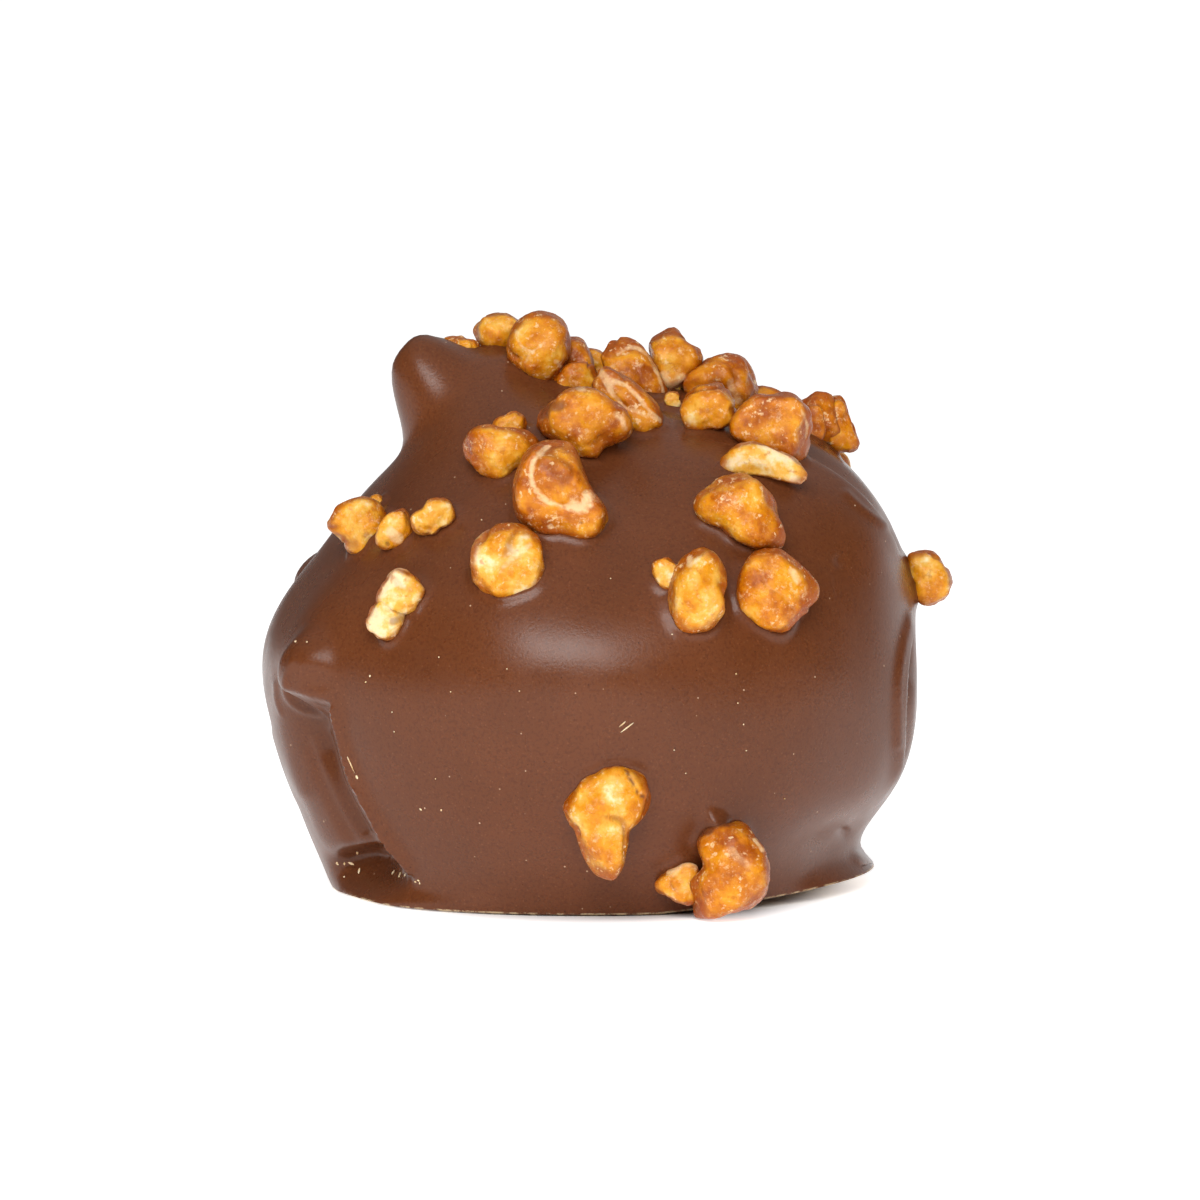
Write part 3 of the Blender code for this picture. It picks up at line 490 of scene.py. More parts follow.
def fold_height(ways, fold):
    """A fold: a soft lip along the line, with the coat dropping to its right and easing back."""
    knots = np.arange(len(fold.line))
    fine = np.linspace(0, len(fold.line) - 1, FOLD_STEPS)
    turns = smooth_curve(fine, knots, [p[0] for p in fold.line])
    rises = smooth_curve(fine, knots, [p[1] for p in fold.line])
    line = direction(turns, rises)
    gaps = ((ways[:, None, :] - line[None, :, :]) ** 2).sum(axis=2)
    nearest = gaps.argmin(axis=1)
    heading = unit(np.gradient(line, axis=0)[nearest])
    foot = line[nearest]
    rightward = np.cross(heading, foot)
    beside = ((ways - foot) * rightward).sum(axis=1) * TYPICAL_REACH
    beyond = np.abs(((ways - foot) * heading).sum(axis=1)) * TYPICAL_REACH
    place = nearest / (len(line) - 1)
    ends = smooth_step(place, 0.0, 0.2) * (1 - smooth_step(place, 0.85, 1.0))
    ends = ends * np.exp(-((beyond / FOLD_PAST_END) ** 2))
    drop = smooth_step(beside, 0, fold.edge) * (1 - smooth_step(beside, fold.edge, fold.reach))
    lip = np.exp(-((beside / fold.edge) ** 2))
    return ends * (fold.lip * lip - fold.depth * drop)


def coat_reach(ways):
    """How far the coat reaches from the heart in each unit direction."""
    reach = smooth_reach(ways)
    for lump in LUMPS.values():
        reach = reach + lump_height(ways, lump)
    for fold in FOLDS.values():
        reach = reach + fold_height(ways, fold)
    return reach + UNEVENNESS * noise_at(ways, UNEVEN_SCALE)


def rim_reach(points):
    """How far the rim of the foot stands out, from each point's turn and its height."""
    turn = np.degrees(np.arctan2(points[:, 0], -points[:, 1]))
    out = np.zeros(len(points))
    for rim in RIMS:
        apart = (turn - rim.turn + 180) % 360 - 180
        low = np.exp(-((np.maximum(points[:, 2], 0) / rim.height) ** 2))
        out = out + rim.reach * low * np.exp(-((apart / rim.spread) ** 2))
    return out


def coat_points(ways):
    """The coat's surface in each unit direction, in millimetres, before the foot is cut flat."""
    points = HEART + ways * coat_reach(ways)[:, None]
    level = np.maximum(np.hypot(points[:, 0], points[:, 1]), 1e-9)
    points[:, :2] *= (1 + rim_reach(points) / level)[:, None]
    return points


def height_over_coat(points):
    """How far each point is outside the coat, along its own line from the heart."""
    apart = points - HEART
    distance = np.linalg.norm(apart, axis=1)
    ways = apart / distance[:, None]
    return distance - np.linalg.norm(coat_points(ways) - HEART, axis=1)


def outward(point):
    """The coat's outward direction near a point, from the reach of its neighbours."""
    way = unit(point - HEART)
    side = NEIGHBOUR * unit(np.cross(way, (0.0, 0.0, 1.0)))
    other = np.cross(way, side)
    a, b, c, d = coat_points(unit(np.array([way + side, way - side, way + other, way - other])))
    normal = unit(np.cross(a - b, c - d))
    return normal if normal @ way > 0 else -normal


def line_of_sight(across, up):
    """The unit direction from the eye through a place that the viewer sees."""
    level = up - LOOKED_AT[2] * SIGHT_UP[2]
    through = LOOKED_AT + across * np.array((1.0, 0.0, 0.0)) + level * SIGHT_UP
    return unit(through - EYE)


def seat_seen(across, up):
    """Where the line of sight through a place first meets the coat, or None where it misses."""
    heading = line_of_sight(across, up)
    nearest, furthest = EYE_DISTANCE - SOUGHT_NEARER, EYE_DISTANCE + SOUGHT_FURTHER
    steps = np.linspace(nearest, furthest, COARSE_STEPS)
    over = height_over_coat(EYE + steps[:, None] * heading)
    inside = np.nonzero(over < 0)[0]
    if not len(inside):
        return None
    first = max(int(inside[0]), 1)
    fine = np.linspace(steps[first - 1], steps[first], FINE_STEPS)
    over = height_over_coat(EYE + fine[:, None] * heading)
    return EYE + fine[int(np.argmin(np.abs(over)))] * heading


def where_seen(points):
    """Across and up of one point or many as the viewer sees them, from the foot's middle."""
    apart = points - EYE
    share = EYE_DISTANCE / -(apart @ SIGHT_BACK)
    through = EYE + share[..., None] * apart - LOOKED_AT
    return np.stack([through[..., 0], through @ SIGHT_UP + LOOKED_AT[2] * SIGHT_UP[2]], axis=-1)


def frame_of(middle, long_way, out):
    """Position and axes of a piece: across, along its length, and out of the coat."""
    out = unit(out)
    along = unit(long_way - (long_way @ out) * out)
    return middle, np.cross(along, out), along, out


def half_height(piece):
    """How far a piece reaches below its middle, or half its thickness if that is more."""
    turn = math.radians(piece.turn)
    below = math.hypot(piece.length * math.sin(turn), piece.width * math.cos(turn)) / 2
    if piece.reaches:
        below = piece.reaches[len(piece.reaches) * 3 // 4]
    return max(below, piece.thickness * piece.width / 2)


def placed_piece(piece):
    """The frame of a piece that shows from the front."""
    turn = math.radians(piece.turn)
    long_way = np.array((math.cos(turn), 0.0, 0.0)) + math.sin(turn) * SIGHT_UP
    wanted = np.array((piece.across, piece.up))
    heading = line_of_sight(*wanted)
    thick = piece.thickness * piece.width
    if piece.behind is not None:
        steps = np.linspace(EYE_DISTANCE - 20, EYE_DISTANCE + 20, 160)
        over = height_over_coat(EYE + steps[:, None] * heading)
        middle = EYE + heading * (steps[int(np.argmin(over))] + piece.behind)
        over = height_over_coat(middle[None, :])[0] - half_height(piece) + LEAST_SUNK * thick
        return frame_of(middle + max(over, 0.0) * unit(HEART - middle), long_way, -heading)
    aim = wanted.copy()
    for _ in range(5):
        seat = seat_seen(*aim)
        middle = seat + outward(seat) * (0.5 - piece.sunk) * thick
        aim += 0.8 * (wanted - where_seen(middle))
    return frame_of(middle, long_way, -heading)


def strewn_pieces():
    """Frames and shapes of the pieces on the crown, sides and back, from a seeded draw."""
    draw = np.random.default_rng(STREWN_SEED)
    taken = [placed_piece(piece)[0] for piece in PIECES.values()]
    made = {}
    for area_number, area in enumerate(STREWN):
        for number in range(area.count):
            for _ in range(STREWN_TRIES):
                turn = draw.uniform(area.turn_from, area.turn_to)
                rise = draw.uniform(area.rise_from, area.rise_to)
                seat = coat_points(direction(turn, rise)[None, :])[0]
                if min(np.linalg.norm(seat - other) for other in taken) > STREWN_APART:
                    break
            taken.append(seat)
            length = draw.uniform(*STREWN_LENGTH)
            width = length * draw.uniform(*STREWN_WIDTH)
            shape = {key: draw.uniform(*limits) for key, limits in STREWN_SHAPE.items()}
            piece = Piece(0.0, 0.0, length, width, 0.0, **shape)
            out = outward(seat)
            spin = draw.uniform(0, 2 * math.pi)
            side = np.cross(out, (0.3, 0.5, 0.81))
            long_way = side * math.cos(spin) + np.cross(out, side) * math.sin(spin)
            middle = seat + out * (0.5 - piece.sunk) * piece.thickness * width
            made[f"strewn_{area_number}_{number}"] = (piece, frame_of(middle, long_way, out))
    return made


def all_pieces():
    """Every nut piece by name: its shape and its frame."""
    made = {name: (piece, placed_piece(piece)) for name, piece in PIECES.items()}
    made.update(strewn_pieces())
    return made


def outline_points(ball, piece):
    """A unit ball's points spread to the piece's reaches, and rounded towards the viewer."""
    count = len(piece.reaches)
    step = 360 / count
    turn = np.degrees(np.arctan2(ball[:, 1], ball[:, 0])) % 360
    steps = range(-1, count + 2)
    reach = smooth_curve(turn, [k * step for k in steps], [piece.reaches[k % count] for k in steps])
    level = np.hypot(ball[:, 0], ball[:, 1])
    boxy = (level**BOXINESS + np.abs(ball[:, 2]) ** BOXINESS) ** (1 / BOXINESS)
    depth = 0.5 * piece.width * piece.thickness
    return ball / boxy[:, None] * np.stack([reach, reach, np.full(len(ball), depth)], axis=1)


def pebble_points(ball, piece):
    """A unit ball's points as a boxy pebble, tapered and pinched along its length."""
    boxy = (np.abs(ball) ** BOXINESS).sum(axis=1) ** (1 / BOXINESS)
    x, y, z = (ball / boxy[:, None]).T
    pinch = (1 - piece.taper * y) * (1 - piece.waist * np.exp(-((y / 0.35) ** 2)))
    return np.stack([x * pinch, y, z * (0.4 + 0.6 * pinch)], axis=1)


def nut_points(ball, piece, seed):
    """A unit ball's points shaped into a nut piece, in its own frame of across, along and out."""
    draw = np.random.default_rng(seed)
    points = outline_points(ball, piece) if piece.reaches else pebble_points(ball, piece)
    for _ in range(CHOP_MARKS):
        normal = draw.normal(size=3)
        if piece.reaches:
            normal[2] = OUTLINE_CHOPS_FACE * abs(normal[2])
        normal = unit(normal)
        far = (points @ normal).max()
        over = np.maximum(points @ normal - far * draw.uniform(*CHOP_DEPTHS), 0)
        points -= CHOP_BITE * over[:, None] * normal
    offset = Vector(draw.uniform(-50, 50, size=3))
    points *= (1 + WRINKLE * noise_at(ball, WRINKLE_SCALE, offset))[:, None]
    if piece.reaches:
        return points
    low, high = points.min(axis=0), points.max(axis=0)
    points = 2 * (points - low) / (high - low) - 1
    points *= 0.5 * np.array((piece.width, piece.length, piece.width * piece.thickness))
    along = 2 * points[:, 1] / piece.length
    points[:, 0] += piece.bend * piece.length * (along * along - 0.4)
    return points


def unit_ball(subdivisions):
    """Points and triangles of a ball of radius 1."""
    builder = bmesh.new()
    bmesh.ops.create_icosphere(builder, subdivisions=subdivisions, radius=1.0)
    points = np.array([v.co for v in builder.verts])
    faces = np.array([[v.index for v in face.verts] for face in builder.faces])
    builder.free()
    return points, faces


def dented(points, piece, seed):
    """The piece with soft dents, creases and grain, and how deep each point is in a crease."""
    draw = np.random.default_rng(DENT_SEED + seed)
    size = DENT_SIZE * min(1.0, 0.35 + piece.width / 4.5)
    offsets = draw.uniform(-50, 50, size=(3, 3))
    folds = np.abs(noise_at(points, 0.8 / size, offsets[0]))
    creased_here = smooth_step(noise_at(points, 0.55 / size, offsets[1]), 0.1, 0.4)
    crease = (1 - smooth_step(folds, 0.0, 0.16)) * creased_here
    height = DENT_HEIGHT * size * noise_at(points, 1 / size, offsets[2]) - CREASE_DEPTH * crease
    for grain_size, grain_height in GRAIN:
        offset = draw.uniform(-50, 50, size=3)
        height = height + grain_height * noise_at(points, 1 / grain_size, offset)
    return points + unit(points) * height[:, None], crease


def distance_seen(points, line, steps):
    """How far many points are from a smooth line, both as the viewer sees them."""
    seen = where_seen(points)
    line = np.array(line)
    knots = np.arange(len(line))
    fine = np.linspace(0, len(line) - 1, steps)
    drawn = np.stack([smooth_curve(fine, knots, line[:, k]) for k in (0, 1)], axis=1)
    return np.sqrt(((seen[:, None, :] - drawn[None, :, :]) ** 2).sum(axis=2).min(axis=1))


def ridged(points, ways):
    """The coat's points with its fine ridges, on the side that the viewer sees."""
    height = np.zeros(len(points))
    seen = where_seen(points)
    in_front = points[:, 1] < RIDGED_BEFORE
    for ridge in RIDGES.values():
        margin = RIDGE_MARGIN * ridge.width
        low = np.min(ridge.line, axis=0) - margin
        high = np.max(ridge.line, axis=0) + margin
        near = np.nonzero(in_front & ((seen > low) & (seen < high)).all(axis=1))[0]
        gap = distance_seen(points[near], ridge.line, RIDGE_STEPS)
        height[near] += ridge.height * np.exp(-((gap / ridge.width) ** 2))
    return points + ways * height[:, None]


def marked(placed, facing, piece_name):
    """The placed points of a nut piece with its marks dented in, and each point's tone."""
    tones = np.zeros(len(placed))
    for mark in MARKS:
        if mark.nut != piece_name:
            continue
        wobble = MARK_WOBBLE * mark.width * noise_at(placed, 2.2)
        gap = distance_seen(placed, mark.line, MARK_STEPS)
        near = np.exp(-((np.maximum(gap + wobble, 0) / mark.width) ** 4)) * (facing > 0.1)
        tones = tones + mark.tone * near
        placed = placed + SIGHT_BACK * -(mark.dent * near)[:, None]
    return placed, np.clip(tones, -1, 1)


def build_nuts(name, wanted, pieces):
    """One mesh of the wanted nut pieces, with the values that colour them."""
    ball, ball_faces = unit_ball(NUT_SUBDIVISIONS)
    # 0 in the middle of the side that faces out, and 1 at its edge and below. The caramel is painted
    # darker towards 1, partly as thicker caramel and partly as painted shade.
    flank = np.where(ball[:, 2] > 0, np.hypot(ball[:, 0], ball[:, 1]), 1.0)
    made, values = [], []
    for seed, (piece_name, (piece, own_frame)) in enumerate(pieces.items()):
        if piece_name not in wanted:
            continue
        middle, across, along, out = own_frame
        shaped, crease = dented(nut_points(ball, piece, seed), piece, seed)
        placed = middle + shaped @ np.array([across, along, out])
        placed, tone = marked(placed, ball[:, 2], piece_name)
        placed[:, 2] = np.maximum(placed[:, 2], NUT_CLEARANCE)
        made.append(placed)
        drawn_tint = np.random.default_rng(TINT_SEED + seed).uniform(*DRAWN_TINTS)
        tint = np.full(len(ball), NUT_TINTS.get(piece_name, drawn_tint))
        values.append({"crease": crease, "flank": flank, "tint": tint, "tone": tone})
    nuts = add_balls(name, made, ball_faces)
    for key in values[0]:
        set_values(nuts, key, np.concatenate([value[key] for value in values]))
    return nuts


def build_crumbs():
    """Flakes and crumbs on the front of the coat, as one mesh."""
    draw = np.random.default_rng(CRUMB_SEED)
    ball, ball_faces = unit_ball(CRUMB_SUBDIVISIONS)
    made = []
    for area in CRUMBS:
        for _ in range(area.count):
            across = area.across + area.spread_across * draw.uniform(-1, 1)
            up = area.up + area.spread_up * draw.uniform(-1, 1)
            seat = seat_seen(across, up)
            if seat is None or seat[2] < 0.3:
                continue
            out = outward(seat)
            spread = CRUMB_TURN_SPREAD * (area.count > 1)
            turn = math.radians(area.turn + spread * draw.normal())
            long_way = np.array((math.cos(turn), 0.0, 0.0)) + math.sin(turn) * SIGHT_UP
            middle, side, along, out = frame_of(seat + 0.6 * LEAST_CRUMB * out, long_way, out)
            length = area.length * draw.uniform(0.7, 1.3)
            half = 0.5 * length * np.array((area.slim, 1.0, 0.35 * area.slim))
            half = np.maximum(half, LEAST_CRUMB)
            rough = 1 + 0.3 * noise_at(ball, 1.6, draw.uniform(-50, 50, size=3))
            made.append(middle + (ball * rough[:, None] * half) @ np.array([side, along, out]))
    return add_balls("crumbs", made, ball_faces)


def add_object(name, data):
    """A new object in the scene."""
    made = bpy.data.objects.new(name, data)
    bpy.context.scene.collection.objects.link(made)
    return made


def add_balls(name, placed, ball_faces):
    """One smooth object of many shaped balls, from the points of each in millimetres."""
    faces = [ball_faces + len(placed[0]) * number for number in range(len(placed))]
    mesh = bpy.data.meshes.new(name)
    mesh.from_pydata((np.concatenate(placed) * MM).tolist(), [], np.concatenate(faces).tolist())
    mesh.shade_smooth()
    return add_object(name, mesh)


def set_values(made, name, values):
    """Store one number a point on a mesh."""
    stored = made.data.attributes.new(name, "FLOAT", "POINT")
    stored.data.foreach_set("value", np.ascontiguousarray(values, dtype=np.float32))


def coat_ball():
    """The ball that becomes the coat, finer in front, and the unit direction of each point."""
    builder = bmesh.new()
    bmesh.ops.create_icosphere(builder, subdivisions=COAT_SUBDIVISIONS, radius=1.0)
    front = [e for e in builder.edges if all(v.co.y < FINER_BEFORE for v in e.verts)]
    bmesh.ops.subdivide_edges(builder, edges=front, cuts=1, use_grid_fill=True)
    bmesh.ops.triangulate(builder, faces=builder.faces)
    return builder, unit(np.array([v.co for v in builder.verts]))


def climbed(points, ways, nut_trees):
    """The coat's points with the chocolate climbing a little where it meets the nuts."""
    climb = np.zeros(len(points))
    for number, point in enumerate(points):
        gap = min((tree.find_nearest(point * MM, 0.0015)[3] or 1.0) for tree in nut_trees) / MM
        climb[number] = CLIMB * math.exp(-((gap / CLIMB_WIDTH) ** 2))
    return points + ways * climb[:, None]


def build_coat(nuts):
    """The chocolate coat, cut flat under its foot, with the foot's edge just above the table."""
    builder, ways = coat_ball()
    parts = [coat_points(part) for part in np.array_split(ways, len(ways) // POINTS_AT_ONCE + 1)]
    points = np.concatenate(parts)
    trees = [BVHTree.FromObject(nut, bpy.context.evaluated_depsgraph_get()) for nut in nuts]
    points = climbed(ridged(points, ways), ways, trees)
    for vertex, point in zip(builder.verts, points):
        vertex.co = Vector(point) * MM
    tilt = math.tan(LIFT_ANGLE)
    rise = UNDERCUT_HEIGHT * MM
    cuts = (
        (Vector((0, 0, rise)), Vector((0, 0, -1))),
        (Vector((LIFT_FROM * MM, 0, rise)), Vector((tilt, 0, -1))),
    )
    for place, normal in cuts:
        everything = builder.verts[:] + builder.edges[:] + builder.faces[:]
        bmesh.ops.bisect_plane(
            builder, geom=everything, dist=1e-7, plane_co=place, plane_no=normal, clear_outer=True
        )
    rim = [edge for edge in builder.edges if len(edge.link_faces) == 1]
    under = bmesh.ops.extrude_edge_only(builder, edges=rim)["geom"]
    for vertex in (item for item in under if isinstance(item, bmesh.types.BMVert)):
        level = vertex.co.xy.length
        vertex.co.xy *= 1 - UNDERCUT_DEPTH * MM / level
        vertex.co.z -= rise
    sole = [item for item in under if isinstance(item, bmesh.types.BMEdge)]
    bmesh.ops.triangle_fill(builder, use_beauty=True, edges=sole)
    bmesh.ops.dissolve_degenerate(builder, dist=0.01 * MM, edges=builder.edges)
    bmesh.ops.triangulate(builder, faces=builder.faces)
    bmesh.ops.recalc_face_normals(builder, faces=builder.faces)
    mesh = bpy.data.meshes.new("coat")
    builder.to_mesh(mesh)
    builder.free()
    mesh.shade_smooth()
    mesh.set_sharp_from_angle(angle=math.radians(50))
    return add_object("coat", mesh)


def set_inputs(node, inputs):
    """Join a node's inputs to sockets, or give them plain values."""
    for key, value in inputs.items():
        if isinstance(value, bpy.types.NodeSocket):
            node.id_data.links.new(value, node.inputs[key])
        else:
            node.inputs[key].default_value = value


def add_node(tree, kind, inputs=None, **settings):
    """A new shader node, with sockets or plain values for its inputs."""
    made = tree.nodes.new(kind)
    for key, value in settings.items():
        setattr(made, key, value)
    set_inputs(made, inputs or {})
    return made


def new_material(name):
    """A material with its shader and the place in millimetres."""
    material = bpy.data.materials.new(name)
    material.use_nodes = True
    tree = material.node_tree
    place = add_node(tree, "ShaderNodeTexCoord").outputs["Object"]
    scale = (1 / MM,) * 3
    scaled = add_node(tree, "ShaderNodeVectorMath", {0: place, 1: scale}, operation="MULTIPLY")
    return material, tree.nodes["Principled BSDF"], scaled.outputs[0]


def maths(operation, first, *others):
    """The result of a sum on a socket and other sockets or plain numbers."""
    inputs = dict(enumerate((first, *others)))
    return add_node(first.id_data, "ShaderNodeMath", inputs, operation=operation).outputs[0]


def cells(place, scale):
    """Each cell's colour, and the distance from the point that the cell grew from."""
    inputs = {"Vector": place, "Scale": scale}
    return add_node(place.id_data, "ShaderNodeTexVoronoi", inputs).outputs


def noise_texture(place, scale, detail=3.0, rough=0.5):
    inputs = {"Vector": place, "Scale": scale, "Detail": detail, "Roughness": rough}
    return add_node(place.id_data, "ShaderNodeTexNoise", inputs).outputs[0]


def ramp(value, stops):
    """Colours along a value: each stop is a place and a colour."""
    made = add_node(value.id_data, "ShaderNodeValToRGB", {0: value})
    elements = made.color_ramp.elements
    while len(elements) < len(stops):
        elements.new(0.5)
    for element, (at, colour) in zip(elements, stops):
        element.position = at
        element.color = (*colour, 1.0)
    return made.outputs[0]


def mixed(share, base, colour):
    """The base with a share of a plain colour over it."""
    inputs = {0: share, 6: base, 7: (*colour, 1.0)}
    return add_node(base.id_data, "ShaderNodeMix", inputs, data_type="RGBA").outputs[2]


def bumped(height, distance):
    inputs = {"Height": height, "Distance": distance * MM}
    return add_node(height.id_data, "ShaderNodeBump", inputs).outputs[0]


def between(value, low, high, low_result=0.0, high_result=1.0):
    """A value moved from one range to another, and held within it."""
    inputs = {0: value, 1: low, 2: high, 3: low_result, 4: high_result}
    kind = "ShaderNodeMapRange"
    return add_node(value.id_data, kind, inputs, interpolation_type="SMOOTHSTEP").outputs[0]


def pale_edge_and_glint(place):
    """1 along the broken lower edge of the coat, which lifts with the foot, and 0 above it. The pale
    line there is partly the edge's own cream colour and partly a painted highlight of the edge catching
    the light.
    """
    parts = add_node(place.id_data, "ShaderNodeSeparateXYZ", {0: place}).outputs
    lifted = maths("MAXIMUM", maths("SUBTRACT", parts["X"], LIFT_FROM), 0.0)
    edge = maths("MULTIPLY_ADD", lifted, math.tan(LIFT_ANGLE), UNDERCUT_HEIGHT)
    line = between(maths("SUBTRACT", parts["Z"], edge), 0.09, 0.04)
    broken = between(noise_texture(place, 0.9, 5.0, 0.8), 0.44, 0.56)
    return maths("MULTIPLY", line, broken)


def chocolate():
    """Satin milk chocolate with a faint mottling, fine dark and pale specks, and a pale broken line
    along the foot's edge that is partly a painted highlight.
    """
    material, shader, place = new_material("milk_chocolate")
    cloud = noise_texture(place, 0.22, 4.0)
    base = ramp(cloud, ((0.3, (0.114, 0.0325, 0.0100)), (0.7, (0.138, 0.0400, 0.0125))))
    fine = noise_texture(place, 7.0, 2.0, 0.5)
    base = mixed(between(fine, 0.55, 0.3, 0.0, 0.6), base, (0.085, 0.022, 0.007))
    dots = cells(place, 1.1)
    picked = between(dots["Color"], 0.45, 0.5)
    pale = maths("MULTIPLY", between(dots["Distance"], 0.06, 0.035), picked)
    base = mixed(pale, base, (0.50, 0.32, 0.20))
    holes = cells(place, 1.45)
    dark = between(holes["Distance"], 0.07, 0.045, 0.0, 0.75)
    base = mixed(dark, base, (0.035, 0.010, 0.004))
    grains = cells(place, 3.4)
    light = between(grains["Distance"], 0.2, 0.12, 0.0, 0.5)
    base = mixed(light, base, (0.185, 0.062, 0.024))
    # The foot's edge is painted pale, partly its own cream colour and partly a painted highlight.
    base = mixed(pale_edge_and_glint(place), base, (0.46, 0.33, 0.19))
    set_inputs(shader, {
        "Base Color": base,
        "Roughness": between(noise_texture(place, 0.5, 4.0), 0.3, 0.7, 0.25, 0.33),
        "Specular IOR Level": MIRRORING,
        "Subsurface Weight": 0.08,
        "Subsurface Radius": (1.0, 0.35, 0.15),
        "Subsurface Scale": 0.7 * MM,
        "Normal": bumped(noise_texture(place, 7.0, 3.0, 0.6), 0.011),
    })
    return material


def caramel_nut():
    """Roasted hazelnut under caramel: golden, with pale sugary patches, dark amber flanks that are
    partly thicker caramel and partly painted shade, and painted shade in its creases.
    """
    material, shader, place = new_material("caramelised_hazelnut")
    value = {
        key: add_node(place.id_data, "ShaderNodeAttribute", attribute_name=key).outputs["Fac"]
        for key in ("crease", "flank", "tint", "tone")
    }
    patches = noise_texture(place, 0.7, 4.0, 0.6)
    spread = maths("SUBTRACT", patches, 0.5)
    golden = (
        (0.0, (0.34, 0.070, 0.001)),
        (0.25, (0.55, 0.160, 0.002)),
        (0.55, (0.72, 0.282, 0.008)),
        (0.8, (0.80, 0.430, 0.065)),
        (0.93, (0.85, 0.600, 0.260)),
        (1.0, (0.87, 0.650, 0.370)),
    )
    base = ramp(maths("MULTIPLY_ADD", spread, 2.2, value["tint"]), golden)
    sugar = noise_texture(place, 1.6, 8.0, 0.85)
    base = mixed(between(sugar, 0.54, 0.64, 0.0, 0.55), base, (0.86, 0.58, 0.30))
    # Darker towards the flanks and underside, partly thicker caramel and partly painted shade.
    flank_patches = noise_texture(place, 1.1, 4.0, 0.6)
    edge = maths("MULTIPLY", between(value["flank"], 0.6, 0.97), flank_patches)
    base = mixed(between(edge, 0.1, 0.55, 0.0, 0.9), base, (0.31, 0.058, 0.001))
    # Painted shade in the creases.
    deep = between(value["crease"], 0.1, 1.0, 0.0, 0.6)
    base = mixed(deep, base, (0.28, 0.060, 0.003))
    frosted = noise_texture(place, 2.2, 5.0, 0.7)
    bared = maths("MULTIPLY", value["tone"], frosted)
    base = mixed(between(bared, 0.1, 0.5, 0.0, 0.85), base, (0.84, 0.56, 0.29))
    flecks = between(noise_texture(place, 3.6, 4.0, 0.62), 0.57, 0.66)
    scattered = between(noise_texture(place, 1.0, 2.0), 0.42, 0.6, 0.15, 0.75)
    base = mixed(maths("MULTIPLY", flecks, scattered), base, (0.86, 0.60, 0.32))
    pits = between(noise_texture(place, 2.0, 4.0, 0.6), 0.42, 0.3, 0.0, 0.5)
    base = mixed(pits, base, (0.42, 0.100, 0.002))
    burnt = between(value["tone"], -0.1, -0.9, 0.0, 0.9)
    base = mixed(burnt, base, (0.16, 0.045, 0.014))
    set_inputs(shader, {
        "Base Color": base,
        "Roughness": between(noise_texture(place, 1.5), 0.3, 0.7, 0.22, 0.45),
        "Specular IOR Level": MIRRORING,
        "Subsurface Weight": 0.2,
        "Subsurface Radius": (1.0, 0.45, 0.12),
        "Subsurface Scale": 0.5 * MM,
        "Normal": bumped(noise_texture(place, 2.6, 6.0, 0.65), 0.06),
    })
    return material


def pale_crumb():
    """Cream-coloured flakes of nut and sugar, with browner spots."""
    material, shader, place = new_material("pale_crumb")
    browner_to_cream = ((0.35, (0.62, 0.38, 0.17)), (0.6, (0.84, 0.66, 0.42)))
    set_inputs(shader, {
        "Base Color": ramp(noise_texture(place, 3.0), browner_to_cream),
        "Roughness": 0.55,
        "Subsurface Weight": 0.15,
        "Subsurface Radius": (1.0, 0.6, 0.3),
        "Subsurface Scale": 0.2 * MM,
    })
    return material


def floor_material():
    """White paper with a painted glow that is none under the sweet, so the shade round its foot is
    partly painted.
    """
    material, shader, place = new_material("paper")
    shares = (1 / FOOT_HALF[0], 1 / FOOT_HALF[1], 0.0)
    tree = place.id_data
    foot = add_node(tree, "ShaderNodeVectorMath", {0: place, 1: shares}, operation="MULTIPLY")
    away = add_node(tree, "ShaderNodeVectorMath", {0: foot.outputs[0]}, operation="LENGTH")
    set_inputs(shader, {
        "Base Color": (0.92, 0.92, 0.92, 1.0),
        "Roughness": 0.9,
        "Emission Color": (1.0, 1.0, 1.0, 1.0),
        # Painted glow, fading in from round the foot.
        "Emission Strength": between(away.outputs["Value"], GLOW_FROM, GLOW_FULL, 0.0, GLOW),
    })
    return material


def add_floor():
    mesh = bpy.data.meshes.new("floor")
    half = FLOOR_HALF_METRES
    corners = [(-half, -half, 0), (half, -half, 0), (half, half, 0), (-half, half, 0)]
    mesh.from_pydata(corners, [], [(0, 1, 2, 3)])
    mesh.materials.append(floor_material())
    add_object("floor", mesh)


def add_camera():
    data = bpy.data.cameras.new("camera")
    data.lens = LENS
    data.sensor_width = SENSOR
    data.clip_start = 0.01
    camera = add_object("camera", data)
    camera.location = Vector(EYE) * MM
    camera.rotation_euler = Vector(-SIGHT_BACK).to_track_quat("-Z", "Y").to_euler()
    bpy.context.scene.camera = camera


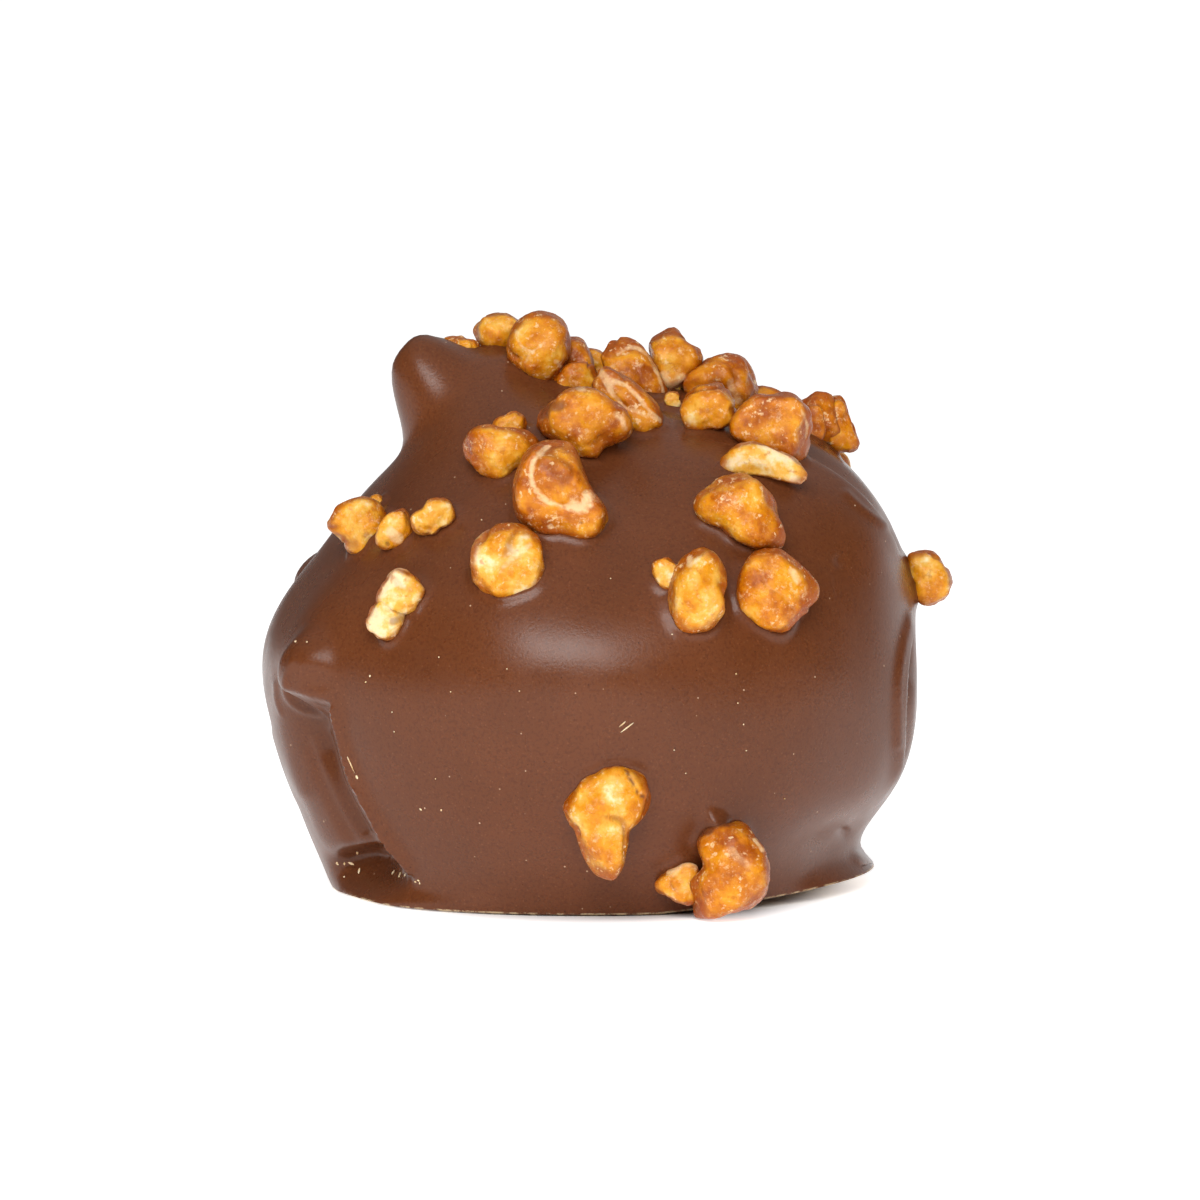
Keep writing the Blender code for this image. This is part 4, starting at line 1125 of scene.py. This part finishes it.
def add_key_lamp():
    """A soft lamp above the viewer's left that faces the sweet."""
    data = bpy.data.lights.new("key", "AREA")
    data.shape = "RECTANGLE"
    data.size, data.size_y = KEY_SIZE
    data.energy = KEY_POWER
    lamp = add_object("key", data)
    lamp.location = KEY_PLACE
    aim = Vector((0, 0, KEY_AIM_HEIGHT)) - Vector(KEY_PLACE)
    lamp.rotation_euler = aim.to_track_quat("-Z", "Y").to_euler()
    lamp.visible_camera = False


def add_studio():
    """A wall behind the sweet, brighter to the right and low down, and a soft lamp above.

    The room behind the viewer is dark, and the camera itself sees plain white all round.
    """
    world = bpy.data.worlds.new("studio")
    world.use_nodes = True
    tree = world.node_tree
    way = add_node(tree, "ShaderNodeTexCoord").outputs["Generated"]
    parts = add_node(tree, "ShaderNodeSeparateXYZ", {0: way}).outputs
    wall = between(parts["Y"], 0.15, 0.8, 0.0, 1.15)
    side = between(parts["X"], -0.3, 0.35, 0.08, 1.0)
    low = between(parts["Z"], 0.03, 0.3, 1.3, 0.5)
    ceiling = between(parts["Z"], 0.5, 1.0, 0.05, 0.6)
    level = maths("MULTIPLY_ADD", wall, maths("MULTIPLY", side, low), ceiling)
    seen = add_node(tree, "ShaderNodeLightPath").outputs["Is Camera Ray"]
    strength = add_node(tree, "ShaderNodeMix", {0: seen, 2: level, 3: 1.0}, data_type="FLOAT")
    white = (1.0, 1.0, 1.0, 1.0)
    set_inputs(tree.nodes["Background"], {"Color": white, "Strength": strength.outputs[0]})
    bpy.context.scene.world = world
    add_key_lamp()


def main():
    add_camera()
    add_studio()
    add_floor()
    pieces = all_pieces()
    front_names = set(PIECES)
    nuts = [
        build_nuts("front_nuts", front_names, pieces),
        build_nuts("strewn_nuts", set(pieces) - front_names, pieces),
    ]
    coat = build_coat(nuts)
    coat.data.materials.append(chocolate())
    nut_material = caramel_nut()
    for nut in nuts:
        nut.data.materials.append(nut_material)
        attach(nut, "root")
        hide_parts(SWEET)
    crumbs = build_crumbs()
    crumbs.data.materials.append(pale_crumb())
    for piece, slot in ((coat, "milk_chocolate"), (crumbs, "pale_crumb")):
        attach(piece, "root")
        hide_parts(SWEET)
    bpy.context.scene.view_settings.view_transform = "Standard"


main()
